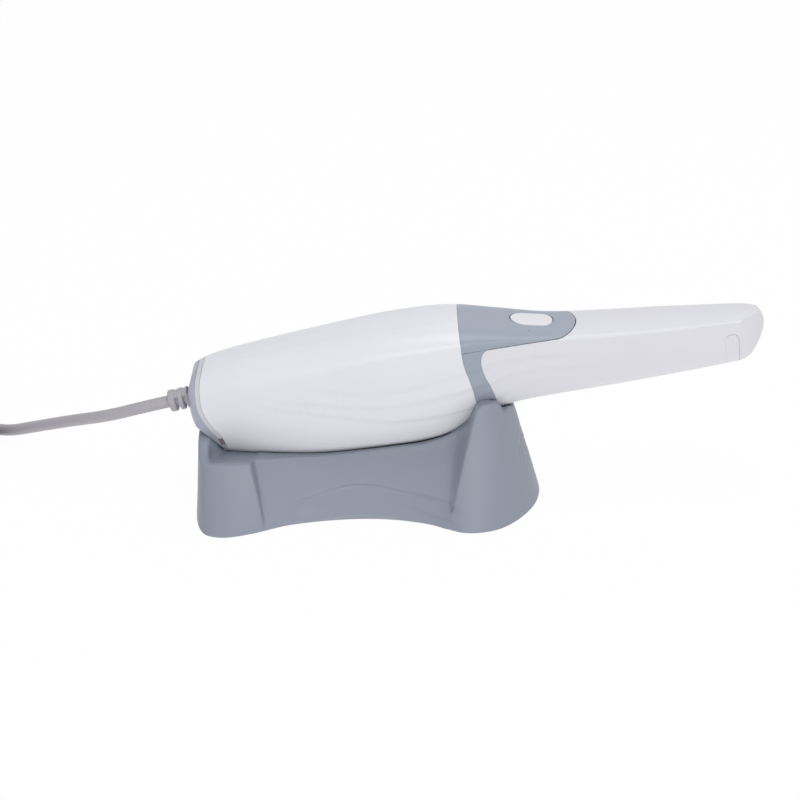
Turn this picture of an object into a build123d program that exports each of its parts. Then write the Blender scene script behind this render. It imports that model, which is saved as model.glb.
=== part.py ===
from build123d import *
import math
import os

os.makedirs("parts", exist_ok=True)

# Place of the handpiece on its cradle: rear end and rise of its axis
rear_x = -76.5
rear_z = 38.9
handpiece_tilt = 8.6

# Guide lines of the handpiece: (distance from the rear, offset from the axis)
side_line = [(0, 10.5), (30, 15.3), (80, 19.2), (106, 19.6), (120, 18.7), (136, 16.4), (156, 14.2),
             (180, 13.3), (205, 12.3), (228, 10.0), (245, 8.5)]
crown_line = [(0, 16.6), (6, 19.5), (13, 22.2), (30, 24.6), (80, 28.1), (106, 28.4), (120, 26.8),
              (136, 22.7), (156, 18.3), (180, 15.6), (205, 13.5), (228, 11.6), (245, 10.2)]
ridge_line = [(0, 5.6), (30, 10.9), (80, 18.0), (106, 19.5), (120, 19.4), (136, 18.1), (156, 14.7),
              (180, 12.5), (205, 10.9), (228, 9.6), (245, 8.6)]
keel_line = [(0, -18.8), (30, -26.0), (50, -29.2), (80, -29.7), (106, -28.0), (120, -22.2), (136, -16.9),
             (156, -15.3), (180, -14.4), (205, -13.1), (228, -12.0), (245, -10.6)]
loft_stations = [-4, 5, 13, 28, 52, 80, 104, 120, 136, 156, 180, 205, 228, 250]
crown_power = 2.1
flank_power_body = 2.25
flank_power_tip = 2.65

# Side view of the seams: (distance from the rear, height above the axis)
rear_profile = [(13.0, 25.0), (9.2, 21.0), (5.9, 17.9), (3.1, 11.9), (1.2, 6.0), (0.9, 1.4), (2.0, -1.6),
                (3.6, -4.6), (5.4, -7.2), (8.2, -11.2), (11.0, -15.5), (14.5, -22.0), (16.0, -27.0)]
ring_profile = [(12.6, 27.0), (11.4, 22.1), (10.2, 19.6), (8.5, 14.5), (7.6, 7.0), (7.7, 3.0), (9.0, -1.8),
                (11.0, -6.6), (12.8, -9.4), (13.7, -12.6), (14.4, -20.0), (15.0, -27.0)]
band_profile = [(119.6, 34.0), (119.6, 22.0), (119.6, 13.0), (120.2, 8.0), (121.4, 1.8), (122.2, -5.0),
                (122.6, -12.0), (123.0, -27.0)]
tip_rear_profile = [(131.0, 16.4), (128.4, 15.2), (127.0, 12.8), (126.6, 9.4), (127.4, 4.0), (129.0, -1.2),
                    (130.4, -8.0), (131.5, -24.0)]
tip_end_profile = [(236.0, 14.5), (241.6, 11.6), (244.7, 8.4), (245.4, 5.0), (244.9, 2.2), (243.0, -1.6),
                   (239.8, -5.4), (236.2, -8.8), (232.0, -12.0), (229.0, -14.6)]
ring_width = 1.9
inlay_depth = 1.0
cap_wall = 2.4
cap_corner = 7.0

# Walls and clearances of the handpiece
body_wall = 2.0
cover_wall = 1.9
tip_wall = 1.7
seam_gap = 0.12
sliding_gap = 0.35
seat_gap = 0.3
band_rear = 119.7
tongue_end = 167.8
tongue_corner = 9.0
tongue_edge_rear = 16.3
tongue_edge_front = 15.3
spine_half_width = 7.0
nose_wall = 1.4
nose_front = 204.0

# Scan button and status light
button_rear = 141.0
button_front = 158.5
button_half_width = 5.7
button_front_round = 4.4
button_gap = 0.35
button_thickness = 1.2
button_travel = 0.6
plunger_radius = 1.8
plunger_length = 4.6
light_u = 148.0
light_v = -10.0
light_radius = 0.55

# Scanning window and mirror in the tip
window_rear = 215.0
window_front = 232.5
window_half_width = 4.8
window_corner = 2.2
cheek_rear = 227.6
cheek_front = 233.6
cheek_top = 4.4
mirror_middle = 226.0
mirror_length = 24.0
mirror_thickness = 1.0
mirror_clearance = 0.3

# Optics and electronics
bulkhead_wall = 2.0
barrel_radius = 8.2
barrel_front = 176.0
barrel_wall = 1.2
lens_thickness = 3.4
lens_bulge = 1.1
window_glass = 1.5
chassis_rear = 58.0
chassis_floor = -8.0
chassis_wall = 2.0
chassis_half_width = 13.0
splitter_size = 11.0
board_rear = 26.0
board_front = 108.0
board_half_width = 9.0
board_level = -13.0
board_thickness = 1.6
chip_height = 1.6
spreader_thickness = 1.4
screw_radius = 1.0
screw_head_radius = 1.9
screw_head_height = 1.2

# Cable, its boot, coil and plug
boot_x = -76.2
boot_z = 44.1
boot_fall = 14.0
boot_length = 8.3
boot_inner_length = 9.0
boot_rib_radius = 4.7
boot_core_radius = 3.4
boot_rib = 1.75
boot_pitch = 3.3
boot_flange_radius = 5.2
boot_flange = 1.6
cable_diameter = 5.2
coil_x = -213.0
coil_y = 30.0
coil_turns_wide = 4
coil_layers = 2
coil_middle_radius = 31.2
plug_length = 30.0
plug_width = 16.0
plug_height = 8.4
shell_length = 12.0
shell_width = 12.0
shell_height = 4.5
shell_wall = 0.35

# Cradle
sole_thickness = 1.2
sole_reveal = 0.4
sole_inset = 4.1
cradle_wall = 2.6
base_plate_thickness = 2.0
base_gap = 0.3
trough_gap = 3.2
level_middle = 26.0
level_top = 52.0
foot_half_outline = [(-72.9, 0), (-72.3, 26), (-68, 40.3), (-60, 43.4), (-48, 40.2), (-32, 32.8), (-6, 28.0),
                     (14, 29.2), (32, 36.8), (45, 39.7), (58, 34.6), (70.6, 17.8), (74.6, 0)]
middle_half_outline = [(-71.9, 0), (-71.3, 17), (-68, 25.3), (-60, 27.6), (-48, 26.9), (-32, 25.0), (-6, 24.2),
                       (14, 24.4), (32, 26.2), (45, 27.8), (56, 24.5), (64.5, 12.5), (66.9, 0)]
top_half_outline = [(-71, 0), (-70.4, 13), (-67.5, 19.6), (-60, 21.9), (-48, 21.3), (-32, 20.6), (-6, 20.2),
                    (14, 20.2), (32, 20.6), (45, 20.8), (53, 18.8), (57.6, 10), (58.9, 0)]
waist_levels = [-1.0, 12.0, 27.0, 54.0]
waist_foot = [(-42.5, 39.0), (-25, 32.2), (-3, 29.4), (16, 30.8), (33.5, 38.4)]
waist_low = [(-45.2, 26.0), (-25, 22.6), (-3, 21.2), (18, 22.2), (36.6, 26.8)]
waist_high = [(-47.6, 16.4), (-25, 15.3), (-3, 14.8), (20, 15.2), (39.6, 17.4)]
waist_top = [(-50.5, 13.8), (-25, 13.3), (-3, 13.2), (22, 13.4), (46.5, 15.0)]
rear_wall_top = 26.8
rear_wall_thickness = 5.4
shelf_level = 24.2
rail_level_rear = 23.4
rail_level_middle = 27.4
rail_level_front = 34.0
arm_top = 50.3
arm_front_x = 55.2
front_rim_level = 41.4
boss_radius = 3.4
boss_hole_radius = 1.3
boss_places = [(-56, 27), (-56, -27), (48, 23), (48, -23)]
ballast_length = 58.0
ballast_width = 29.0
ballast_height = 6.0

cable_radius = cable_diameter / 2
handpiece_place = Location((rear_x, 0, rear_z), (0, -handpiece_tilt, 0))


def guide(line, u):
    """Height of a smooth curve through the points of a guide line, straight beyond its ends."""
    last = len(line) - 1
    slopes = []
    for k in range(last + 1):
        before = line[max(k - 1, 0)]
        after = line[min(k + 1, last)]
        slopes.append((after[1] - before[1]) / (after[0] - before[0]))
    if u <= line[0][0]:
        return line[0][1] + slopes[0] * (u - line[0][0])
    if u >= line[last][0]:
        return line[last][1] + slopes[last] * (u - line[last][0])
    k = max(i for i in range(last) if line[i][0] <= u)
    span = line[k + 1][0] - line[k][0]
    t = (u - line[k][0]) / span
    start = (1 + 2 * t) * (1 - t) ** 2 * line[k][1] + t * (1 - t) ** 2 * span * slopes[k]
    end = t * t * (3 - 2 * t) * line[k + 1][1] + t * t * (t - 1) * span * slopes[k + 1]
    return start + end


def roundness(power):
    """Handle length that gives a curved quarter the fullness of a superellipse."""
    return (8 * 0.5 ** (1 / power) - 4) / 3


def quarter(u, start, end, corner, power):
    """Quarter of a section, between two points and full towards the corner between them."""
    k = roundness(power)
    handles = [start, start + (corner - start) * k, end + (corner - end) * k, end]
    return Edge.make_bezier(*[Vector(u, p.X, p.Y) for p in handles])


def section(u, inset):
    """Closed section of the handpiece across its axis, moved inwards by inset."""
    half = guide(side_line, u) - inset
    rise = guide(crown_line, u) - guide(ridge_line, u)
    top = guide(crown_line, u) - inset
    ridge = guide(ridge_line, u) - inset * max(0.0, 1 - rise / guide(side_line, u))
    keel = guide(keel_line, u) + inset
    blend = min(max((u - 100) / 100, 0.0), 1.0)
    flank_power = flank_power_body + (flank_power_tip - flank_power_body) * blend
    below = Vector(0, keel)
    right = Vector(half, ridge)
    above = Vector(0, top)
    left = Vector(-half, ridge)
    return Wire([quarter(u, below, right, Vector(half, keel), flank_power),
                 quarter(u, right, above, Vector(half, top), crown_power),
                 quarter(u, above, left, Vector(-half, top), crown_power),
                 quarter(u, left, below, Vector(-half, keel), flank_power)])


def hull(inset):
    """Solid form of the handpiece, moved inwards by inset."""
    return Solid.make_loft([section(u, inset) for u in loft_stations])


def side_prism(curve, corners, half=45.0):
    """Prism across the handpiece: seen from the side, a curve closed round the given corners."""
    points = [Vector(u, 0, w) for u, w in curve]
    rest = [points[-1]] + [Vector(u, 0, w) for u, w in corners] + [points[0]]
    edges = [Edge.make_spline(points)]
    edges += [Edge.make_line(a, b) for a, b in zip(rest, rest[1:])]
    return Solid.extrude(Face(Wire(edges)), Vector(0, 2 * half, 0)).moved(Location((0, -half, 0)))


def straight_prism(corners, half=45.0):
    """Prism across the handpiece with straight sides."""
    face = Face(Wire.make_polygon([Vector(u, -half, w) for u, w in corners]))
    return Solid.extrude(face, Vector(0, 2 * half, 0))


def block(u0, u1, v0, v1, w0, w1):
    """Rectangular block between two corners."""
    return Solid.make_box(u1 - u0, v1 - v0, w1 - w0).moved(Location((u0, v0, w0)))


def rod(radius, start, end):
    """Round bar between two points."""
    axis = Vector(*end) - Vector(*start)
    return Solid.make_cylinder(radius, axis.length, Plane(origin=start, z_dir=axis))


def one(shape):
    """The shape's solids, joined in a compound only where there are several."""
    solids = shape.solids()
    return solids[0] if len(solids) == 1 else Compound(solids)


def shifted(profile, distance):
    """A side-view profile moved along the axis."""
    return [(u + distance, w) for u, w in profile]


def behind(profile, distance=0.0):
    """Prism of everything to the rear of a side-view profile."""
    curve = shifted(profile, distance)
    return side_prism(curve, [(-30, curve[-1][1]), (-30, curve[0][1])])


def ahead(profile, distance=0.0):
    """Prism of everything in front of a side-view profile."""
    curve = shifted(profile, distance)
    return side_prism(curve, [(280, curve[-1][1]), (280, curve[0][1])])


def tongue_zone(gap):
    """Room of the cover's tongue, larger by gap: above its lower edge and inside its rounded nose."""
    rise = (tongue_edge_front - tongue_edge_rear) / (160.0 - 131.0)
    level = tongue_edge_rear - gap
    low_rear = level + rise * (100 - 131.0)
    low_front = level + rise * (200 - 131.0)
    above = straight_prism([(100, low_rear), (200, low_front), (200, 60), (100, 60)])
    end = tongue_end + gap
    half = 30.0
    inner = 13.6 + gap
    nose = Edge.make_spline(
        [Vector(end - tongue_corner, -inner, -20), Vector(end - 2.4, -inner * 0.7, -20), Vector(end, 0, -20),
         Vector(end - 2.4, inner * 0.7, -20), Vector(end - tongue_corner, inner, -20)],
        tangents=[Vector(0.9, 0.45, 0), Vector(-0.9, 0.45, 0)])
    rest = [nose.end_point(), Vector(end - tongue_corner, half, -20), Vector(90, half, -20),
            Vector(90, -half, -20), Vector(end - tongue_corner, -half, -20), nose.start_point()]
    edges = [nose] + [Edge.make_line(a, b) for a, b in zip(rest, rest[1:])]
    plan = Solid.extrude(Face(Wire(edges)), Vector(0, 0, 80))
    return above & plan


def end_form():
    """Rounded front end of the tip: its side view and its bullet-shaped plan."""
    side = side_prism(tip_end_profile, [(60, -60), (60, 60), (236, 60)])
    nose = Edge.make_spline(
        [Vector(232, -9.9, -40), Vector(240.5, -6.6, -40), Vector(245.6, 0, -40), Vector(240.5, 6.6, -40),
         Vector(232, 9.9, -40)],
        tangents=[Vector(0.95, 0.2, 0), Vector(-0.95, 0.2, 0)])
    rest = [nose.end_point(), Vector(200, 14, -40), Vector(60, 40, -40), Vector(60, -40, -40),
            Vector(200, -14, -40), nose.start_point()]
    edges = [nose] + [Edge.make_line(a, b) for a, b in zip(rest, rest[1:])]
    return side & Solid.extrude(Face(Wire(edges)), Vector(0, 0, 100))


def rear_form(depth):
    """Domed rear end of the handpiece, moved inwards by depth."""
    side = ahead(rear_profile, depth)
    reach = 1.0 + depth
    nose = Edge.make_spline(
        [Vector(reach + cap_corner, -16, -50), Vector(reach + 1.6, -8.4, -50), Vector(reach, 0, -50),
         Vector(reach + 1.6, 8.4, -50), Vector(reach + cap_corner, 16, -50)],
        tangents=[Vector(-0.8, 0.6, 0), Vector(0.8, 0.6, 0)])
    rest = [nose.end_point(), Vector(60, 40, -50), Vector(60, -40, -50), nose.start_point()]
    edges = [nose] + [Edge.make_line(a, b) for a, b in zip(rest, rest[1:])]
    return side & Solid.extrude(Face(Wire(edges)), Vector(0, 0, 100))


def button_outline(grow, level, height):
    """Prism of the button's plan: a half round at the rear and a flatter round in front."""
    half = button_half_width + grow
    rear = button_rear - grow + half
    front = button_front + grow
    corner = front - button_front_round - grow
    a = Vector(rear, -half, level)
    b = Vector(corner, -half, level)
    c = Vector(corner, half, level)
    d = Vector(rear, half, level)
    nose = Edge.make_spline([b, Vector(front, 0, level), c], tangents=[Vector(1, 0, 0), Vector(-1, 0, 0)])
    back = Edge.make_three_point_arc(d, Vector(rear - half, 0, level), a)
    face = Face(Wire([Edge.make_line(a, b), nose, Edge.make_line(c, d), back]))
    return Solid.extrude(face, Vector(0, 0, height))


outer = hull(0.0)
body_cavity = hull(body_wall)
cover_inner = hull(cover_wall)
tip_inner = hull(tip_wall) & block(90, 243, -40, 40, -50, 50)


def spine_zone(gap):
    """Strip along the crown of the body that the spine cover takes."""
    return block(-20, band_rear + 10, -spine_half_width - gap, spine_half_width + gap, 5, 60)


def make_main_housing():
    """White main moulding of the body, with its front bulkhead and the posts of the main board."""
    shell = (outer - body_cavity) & ahead(ring_profile, seam_gap) & behind(band_profile, -seam_gap)
    shell = shell - spine_zone(seam_gap)
    front = band_rear - seam_gap
    plate = hull(body_wall - 0.2) & block(front - bulkhead_wall, front, -40, 40, -50, 50)
    plate = plate - rod(barrel_radius + 0.1, (front - 10, 0, 0), (front + 10, 0, 0))
    plate = plate - spine_zone(seam_gap)
    for v, w in screw_places():
        plate = plate - rod(screw_radius + 0.1, (front - 10, v, w), (front + 10, v, w))
    inner = hull(body_wall - 0.6)
    shell = shell + plate
    for u, v in post_places():
        post = rod(2.4, (u, v, -40), (u, v, board_level)) & inner
        shell = shell + post
    return one(shell)


def screw_places():
    """Corners where the optical chassis is screwed to the bulkhead."""
    reach = chassis_half_width - 3.0
    return [(reach, 13.0), (-reach, 13.0), (reach, -3.0), (-reach, -3.0)]


def post_places():
    """Places of the posts under the main board."""
    inset = 4.0
    across = board_half_width - 4.0
    return [(u, v) for u in (board_rear + inset, board_front - inset) for v in (-across, across)]


def make_spine_cover():
    """Narrow white cover along the crown of the body."""
    room = ahead(ring_profile, seam_gap) & behind(band_profile, -seam_gap)
    return one((outer - body_cavity) & spine_zone(0.0) & room)


def make_upper_cover():
    """Grey cover with its long tongue, the button's slot and the light's hole."""
    skin = (outer - cover_inner) & ahead(band_profile) & tongue_zone(0.0)
    skin = skin - button_outline(button_gap, 5, 40)
    skin = skin - rod(light_radius, (light_u, light_v, 5), (light_u, light_v, 30))
    return one(skin)


def make_grip_collar():
    """Grey band round the front of the body, below the cover."""
    skin = (outer - cover_inner) & ahead(band_profile) & behind(tip_rear_profile)
    return one(skin - tongue_zone(seam_gap))


def make_rear_ring(part):
    """White ring between the body and the rear cap, or one of its two inlays."""
    band = (outer - hull(cap_wall + 0.4)) & behind(ring_profile) & ahead(ring_profile, -ring_width)
    contact = block(0, 30, -30, 0, -13.6, -10.2)
    light = block(0, 30, -30, 0, -16.8, -13.8)
    inlay = outer - hull(inlay_depth)
    if part == "contact":
        return one(band & contact & inlay)
    if part == "light":
        return one(band & light & inlay)
    return one(band - (contact & inlay) - (light & inlay))


def make_rear_cap():
    """Grey domed cap that closes the rear, with the round exit of the cable boot."""
    limit = behind(ring_profile, -ring_width)
    cap = (outer & rear_form(0.0) & limit) - (hull(cap_wall) & rear_form(cap_wall))
    place = boot_place()
    hole = Solid.make_cylinder(boot_core_radius + 0.15, 30).moved(place * Location((0, 0, -15)))
    return one(cap - hole)


def boot_place():
    """Frame at the cable's exit, in handpiece coordinates, with Z pointing out of the rear."""
    world = Location(Plane(origin=(boot_x, 0, boot_z), z_dir=boot_direction()))
    return handpiece_place.inverse() * world


def boot_direction():
    """Direction in which the cable leaves, in the cradle's coordinates."""
    fall = math.radians(boot_fall)
    return Vector(-math.cos(fall), 0, -math.sin(fall))


def make_cable_boot():
    """Rubber boot: a core, two open ribs and a last one at the cap, and a flange inside the cap."""
    core = Solid.make_cone(boot_core_radius, boot_core_radius - 0.4, boot_length)
    core = core + rod(boot_core_radius, (0, 0, -boot_inner_length), (0, 0, 0))
    boot = core
    tops = [boot_length - boot_rib, boot_length - boot_rib - boot_pitch]
    for z in tops:
        boot = boot + rod(boot_rib_radius, (0, 0, z), (0, 0, z + boot_rib))
    web = block(-boot_rib_radius * 0.92, -boot_core_radius * 0.6, -1.5, 1.5, 2.0, boot_length - 0.2)
    boot = boot + web
    flange_top = -(cap_wall + 2.45)
    boot = boot + rod(boot_flange_radius, (0, 0, flange_top - boot_flange), (0, 0, flange_top))
    return one(boot)


outer_window = block(window_rear, window_front, -window_half_width, window_half_width, -30, -4)
window_corners = outer_window.edges().filter_by(Axis.Z)
outer_window = outer_window.fillet(window_corner, window_corners)


def cheek_zone(gap):
    """Arched openings in the tip's two sides, at the front of the window."""
    rear = cheek_rear - gap
    front = cheek_front + gap
    top = cheek_top + gap
    radius = (front - rear) / 2
    a = Vector(rear, 0, -9.0 - gap)
    b = Vector(rear, 0, top - radius)
    c = Vector(front, 0, top - radius)
    d = Vector(front, 0, -9.0 - gap)
    arch = Edge.make_three_point_arc(b, Vector((rear + front) / 2, 0, top), c)
    face = Face(Wire([Edge.make_line(a, b), arch, Edge.make_line(c, d), Edge.make_line(d, a)]))
    both = Solid.extrude(face, Vector(0, 40, 0)).moved(Location((0, -20, 0)))
    return both - block(200, 250, -window_half_width - 0.6, window_half_width + 0.6, -30, 30)


def make_tip_sleeve():
    """White removable scanning tip: a closed-ended sleeve with the window in its underside."""
    solid = outer & end_form() & ahead(tip_rear_profile, sliding_gap)
    solid = solid - tongue_zone(sliding_gap)
    solid = solid - tip_inner
    solid = solid - outer_window
    return one(solid - cheek_zone(0.0))


def make_mirror_holder():
    """Holder of the mirror: two arched cheeks in the tip's sides, joined by a bar above the mirror."""
    cheeks = (outer - hull(tip_wall)) & cheek_zone(-seam_gap)
    wide = guide(side_line, cheek_rear) - tip_wall + 0.4
    bar = block(cheek_rear + 0.6, cheek_front - 0.6, -wide, wide, 0.2, 2.8)
    return one(cheeks + (bar & outer))


def make_tip_mirror():
    """Mirror above the window, at 45 degrees."""
    half = mirror_length / 2
    wide = guide(side_line, mirror_middle) - tip_wall - mirror_clearance
    plate = block(-half, half, -wide, wide, -mirror_thickness / 2, mirror_thickness / 2)
    plate = plate.moved(Location((mirror_middle - 1.2, 0, -0.6), (0, 45, 0)))
    return one(plate & hull(tip_wall + mirror_clearance) & block(195, 242.5, -40, 40, -50, 50))


def make_scan_button():
    """Long white button flush with the cover, with the pin that works the switch."""
    skin = outer - hull(button_thickness)
    cap = skin & button_outline(0.0, 5, 40)
    middle = (button_rear + button_front) / 2
    top = guide(crown_line, middle) - button_thickness + 0.3
    pin = rod(plunger_radius, (middle, 0, top - plunger_length), (middle, 0, top))
    return one(cap + pin)


def make_status_light():
    """Small light pipe beside the button."""
    skin = outer - cover_inner
    return one(skin & rod(light_radius - 0.03, (light_u, light_v, 5), (light_u, light_v, 30)))


nose_inset = tip_wall + sliding_gap


def make_nose_tube():
    """Fixed nose inside the tip, closed in front by the window glass."""
    rear = band_rear + 0.2
    inner = hull(nose_inset + nose_wall)
    tube = (hull(nose_inset) & block(rear, nose_front, -40, 40, -50, 50))
    tube = tube - (inner & block(rear + 2.0, nose_front - 2.2, -40, 40, -50, 50))
    opening = barrel_radius + 0.4
    tube = tube - rod(opening, (rear - 5, 0, 0), (rear + 5, 0, 0))
    tube = tube - (inner & block(nose_front - window_glass - 0.2, nose_front + 1, -30, 30, -30, 30))
    tube = tube - block(nose_front - 4, nose_front + 1, -7, 7, -7, 7)
    middle = (button_rear + button_front) / 2
    tube = tube - rod(plunger_radius + 0.35, (middle, 0, 5), (middle, 0, 40))
    rib = hull(nose_inset + nose_wall - 0.2) & block(barrel_front - 6, barrel_front - 3.5, -30, 30,
                                                                  -30, 30)
    rib = rib - rod(barrel_radius + 0.1, (100, 0, 0), (200, 0, 0))
    return one(tube + rib)


def make_nose_window():
    """Glass in the end of the nose."""
    return one(hull(nose_inset + nose_wall + 0.1)
               & block(nose_front - window_glass - 0.1, nose_front - 0.1, -30, 30, -30, 30))


def make_lens_barrel():
    """Turned barrel that carries the lenses, seated in the bulkhead and the nose."""
    rear = band_rear - seam_gap - bulkhead_wall
    profile = [(rear, barrel_radius), (barrel_front, barrel_radius), (barrel_front, barrel_radius - 1.8),
               (barrel_front - 1, barrel_radius - 1.8), (barrel_front - 1, barrel_radius - barrel_wall),
               (rear + 1, barrel_radius - barrel_wall), (rear + 1, barrel_radius - 1.8),
               (rear, barrel_radius - 1.8)]
    face = Face(Wire.make_polygon([Vector(u, 0, w) for u, w in profile]))
    return one(Solid.revolve(face, 360, Axis.X))


def make_lens(middle):
    """One lens of the barrel, domed on both sides."""
    radius = barrel_radius - barrel_wall - 0.05
    sphere_radius = (radius ** 2 + lens_bulge ** 2) / (2 * lens_bulge)
    half_angle = math.asin(radius / sphere_radius) / 2
    apex = lens_thickness / 2
    rim = apex - lens_bulge
    way_in = apex - sphere_radius * (1 - math.cos(half_angle))
    way_up = sphere_radius * math.sin(half_angle)
    front = Edge.make_three_point_arc((apex, 0, 0), (way_in, 0, way_up), (rim, 0, radius))
    rear = Edge.make_three_point_arc((-rim, 0, radius), (-way_in, 0, way_up), (-apex, 0, 0))
    face = Face(Wire([front, Edge.make_line((rim, 0, radius), (-rim, 0, radius)), rear,
                      Edge.make_line((-apex, 0, 0), (apex, 0, 0))]))
    return one(Solid.revolve(face, 360, Axis.X).moved(Location((middle, 0, 0))))


def make_optical_chassis():
    """Aluminium tray with a front plate that is screwed to the bulkhead."""
    front = band_rear - seam_gap - bulkhead_wall - seat_gap
    floor = block(chassis_rear, front, -chassis_half_width + 2, chassis_half_width - 2, chassis_floor,
                  chassis_floor + chassis_wall)
    plate = block(front - chassis_wall, front, -chassis_half_width, chassis_half_width, chassis_floor, 17)
    tray = floor + plate
    tray = tray - rod(barrel_radius - 1.8, (front - 10, 0, 0), (front + 10, 0, 0))
    for v, w in screw_places():
        tray = tray - rod(screw_radius + 0.1, (front - 10, v, w), (front + 10, v, w))
    for u in (chassis_rear + 8, chassis_rear + 20):
        tray = tray - rod(2.2, (u, 0, -40), (u, 0, 40))
    rear_wall = block(chassis_rear, chassis_rear + 1.5, -chassis_half_width + 2, chassis_half_width - 2,
                      chassis_floor, chassis_floor + 9)
    return one(tray + rear_wall)


def make_chassis_screws():
    """Four screws through the chassis into the bulkhead."""
    face = band_rear - seam_gap - bulkhead_wall - seat_gap - chassis_wall
    screws = []
    for v, w in screw_places():
        head = rod(screw_head_radius, (face - screw_head_height, v, w), (face, v, w))
        shank = rod(screw_radius, (face, v, w), (face + 2 * chassis_wall, v, w))
        screws.append(one(head + shank))
    return Compound(screws)


def make_beam_splitter():
    """Glass cube on the chassis, behind the barrel."""
    front = band_rear - seam_gap - bulkhead_wall - seat_gap - chassis_wall - screw_head_height - 0.4
    low = chassis_floor + chassis_wall
    half = splitter_size / 2
    return block(front - splitter_size, front, -half, half, low, low + splitter_size)


def make_projector():
    """Light engine on top of the beam splitter."""
    front = band_rear - seam_gap - bulkhead_wall - seat_gap - chassis_wall - screw_head_height - 0.4
    low = chassis_floor + chassis_wall + splitter_size
    case = block(front - splitter_size - 3, front, -7, 7, low, low + 15)
    fins = Compound([block(front - splitter_size - 3 - 2, front - splitter_size - 3, -6.2, 6.2, w, w + 1)
                     for w in (low + 2, low + 5, low + 8, low + 11)])
    return one(case + fins)


def make_camera_module():
    """Camera behind the beam splitter: a housing and its small board."""
    front = band_rear - seam_gap - bulkhead_wall - seat_gap - chassis_wall - screw_head_height - 0.4
    front = front - splitter_size - 0.3
    low = chassis_floor + chassis_wall
    case = block(front - 14, front, -6, 6, low, low + 10.5)
    sensor = block(front - 16, front - 14, -9, 9, low, low + 15)
    return one(case + sensor)


def make_main_board():
    """Main circuit board on its posts."""
    board = block(board_rear, board_front, -board_half_width, board_half_width, board_level,
                  board_level + board_thickness)
    return one(board)


def make_board_chips():
    """Chips soldered on the main board."""
    base = board_level + board_thickness
    chips = []
    for u, v, size in [(40, -3, 5.5), (54, 2, 4.0), (68, -1, 6.5), (86, 1, 5.0), (99, -2, 3.5)]:
        chips.append(block(u - size, u + size, v - size * 0.8, v + size * 0.8, base, base + chip_height))
    return Compound(chips)


def make_heat_spreader():
    """Aluminium plate that draws the heat from the chips."""
    low = board_level + board_thickness + chip_height
    plate = block(board_rear + 6, chassis_rear - 1.0, -7.5, 7.5, low, low + spreader_thickness)
    fins = [block(board_rear + 8, chassis_rear - 3, v - 0.5, v + 0.5, low + spreader_thickness,
                  low + spreader_thickness + 4) for v in (-6, -3, 0, 3, 6)]
    for fin in fins:
        plate = plate + fin
    return one(plate)


def make_button_switch():
    """Switch under the button, on its small board inside the nose."""
    middle = (button_rear + button_front) / 2
    level = guide(crown_line, middle) - button_thickness + 0.3 - plunger_length - button_travel - 0.1
    cap = rod(1.6, (middle, 0, level - 0.6), (middle, 0, level))
    case = block(middle - 2.6, middle + 2.6, -2.6, 2.6, level - 2.2, level - 0.6)
    board = block(middle - 9, middle + 6, -5.2, 5.2, level - 3.4, level - 2.2)
    return one(cap + case + board)


def make_tip_spring():
    """Thin leaf along the underside of the nose that keeps the tip from rattling."""
    leaf = hull(tip_wall + 0.08) - hull(nose_inset - 0.02)
    return one(leaf & block(142, 158, -2.5, 2.5, -40, 0))


def make_cable_clamp():
    """Clamp that holds the cable behind the boot's flange."""
    low = -boot_inner_length
    ring = rod(boot_flange_radius - 0.5, (0, 0, low - 4), (0, 0, low))
    return one(ring - rod(1.2, (0, 0, low - 6), (0, 0, low + 2)))


def coil_ring():
    """Outer shape of the wound cable: its turns beside and on each other."""
    wide = coil_turns_wide * cable_diameter / 2
    ring = Solid.make_cylinder(coil_middle_radius + wide, coil_layers * cable_diameter)
    hole = Solid.make_cylinder(coil_middle_radius - wide, coil_layers * cable_diameter)
    return (ring - hole).moved(Location((coil_x, coil_y, 0)))


def tube(points):
    """Round tube along straight runs joined by the largest arcs that the runs allow."""
    runs = [b - a for a, b in zip(points, points[1:])]
    radii = []
    for a, b in zip(runs, runs[1:]):
        half_turn = math.radians(a.get_angle(b)) / 2
        radii.append(0.45 * min(a.length, b.length) / math.tan(half_turn))
    print("arc radii", [round(r, 1) for r in radii], "runs", [round(r.length, 1) for r in runs])
    path = FilletPolyline(*points, radius=radii)
    profile = Plane(origin=points[0], z_dir=runs[0]) * Circle(cable_radius)
    return sweep(profile, path=path), path.length


def boot_end():
    """Point where the cable leaves the boot."""
    return Vector(boot_x, 0, boot_z) + boot_direction() * boot_length


cable_route = [(-112.0, 6.0, 32.4), (-131.0, 19.0, 23.2), (-149.0, 32.0, 13.4),
               (-166.0, 44.5, 3.8), (-179.0, 53.0, 2.8), (-193.6, 57.3, 2.8)]
tail_route = [(-245.5, 33.0, 7.8), (-256.0, 12.0, 6.6), (-252.0, -12.0, 4.3), (-240.0, -30.0, 4.3)]


def make_cable():
    """Cable from the boot down to the table and up to the coil."""
    start = [boot_end(), boot_end() + boot_direction() * 12.0]
    solid, length = tube(start + [Vector(*p) for p in cable_route])
    print("cable volume over section times length", solid.volume / (math.pi * cable_radius ** 2 * length))
    return one(solid - coil_ring())


def make_cable_tail():
    """Cable from the coil down to the plug."""
    solid, length = tube([Vector(*p) for p in tail_route])
    print("tail volume over section times length", solid.volume / (math.pi * cable_radius ** 2 * length))
    return one(solid - coil_ring())


def make_cable_tie():
    """Soft strap round the coil."""
    wide = coil_turns_wide * cable_diameter / 2
    tall = coil_layers * cable_diameter
    strap = block(-7, 7, -wide - 1.8, wide + 1.8, 0, tall + 1.2)
    angle = -80
    place = Location((coil_x, coil_y, 0), (0, 0, angle)) * Location((0, coil_middle_radius, 0))
    return one(strap.moved(place) - coil_ring())


def plug_place():
    """Frame at the rear of the plug, with Z along it."""
    end = Vector(*tail_route[-1])
    way = end - Vector(*tail_route[-2])
    return Plane(origin=end, z_dir=Vector(way.X, way.Y, 0), x_dir=Vector(0, 0, 1))


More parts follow.
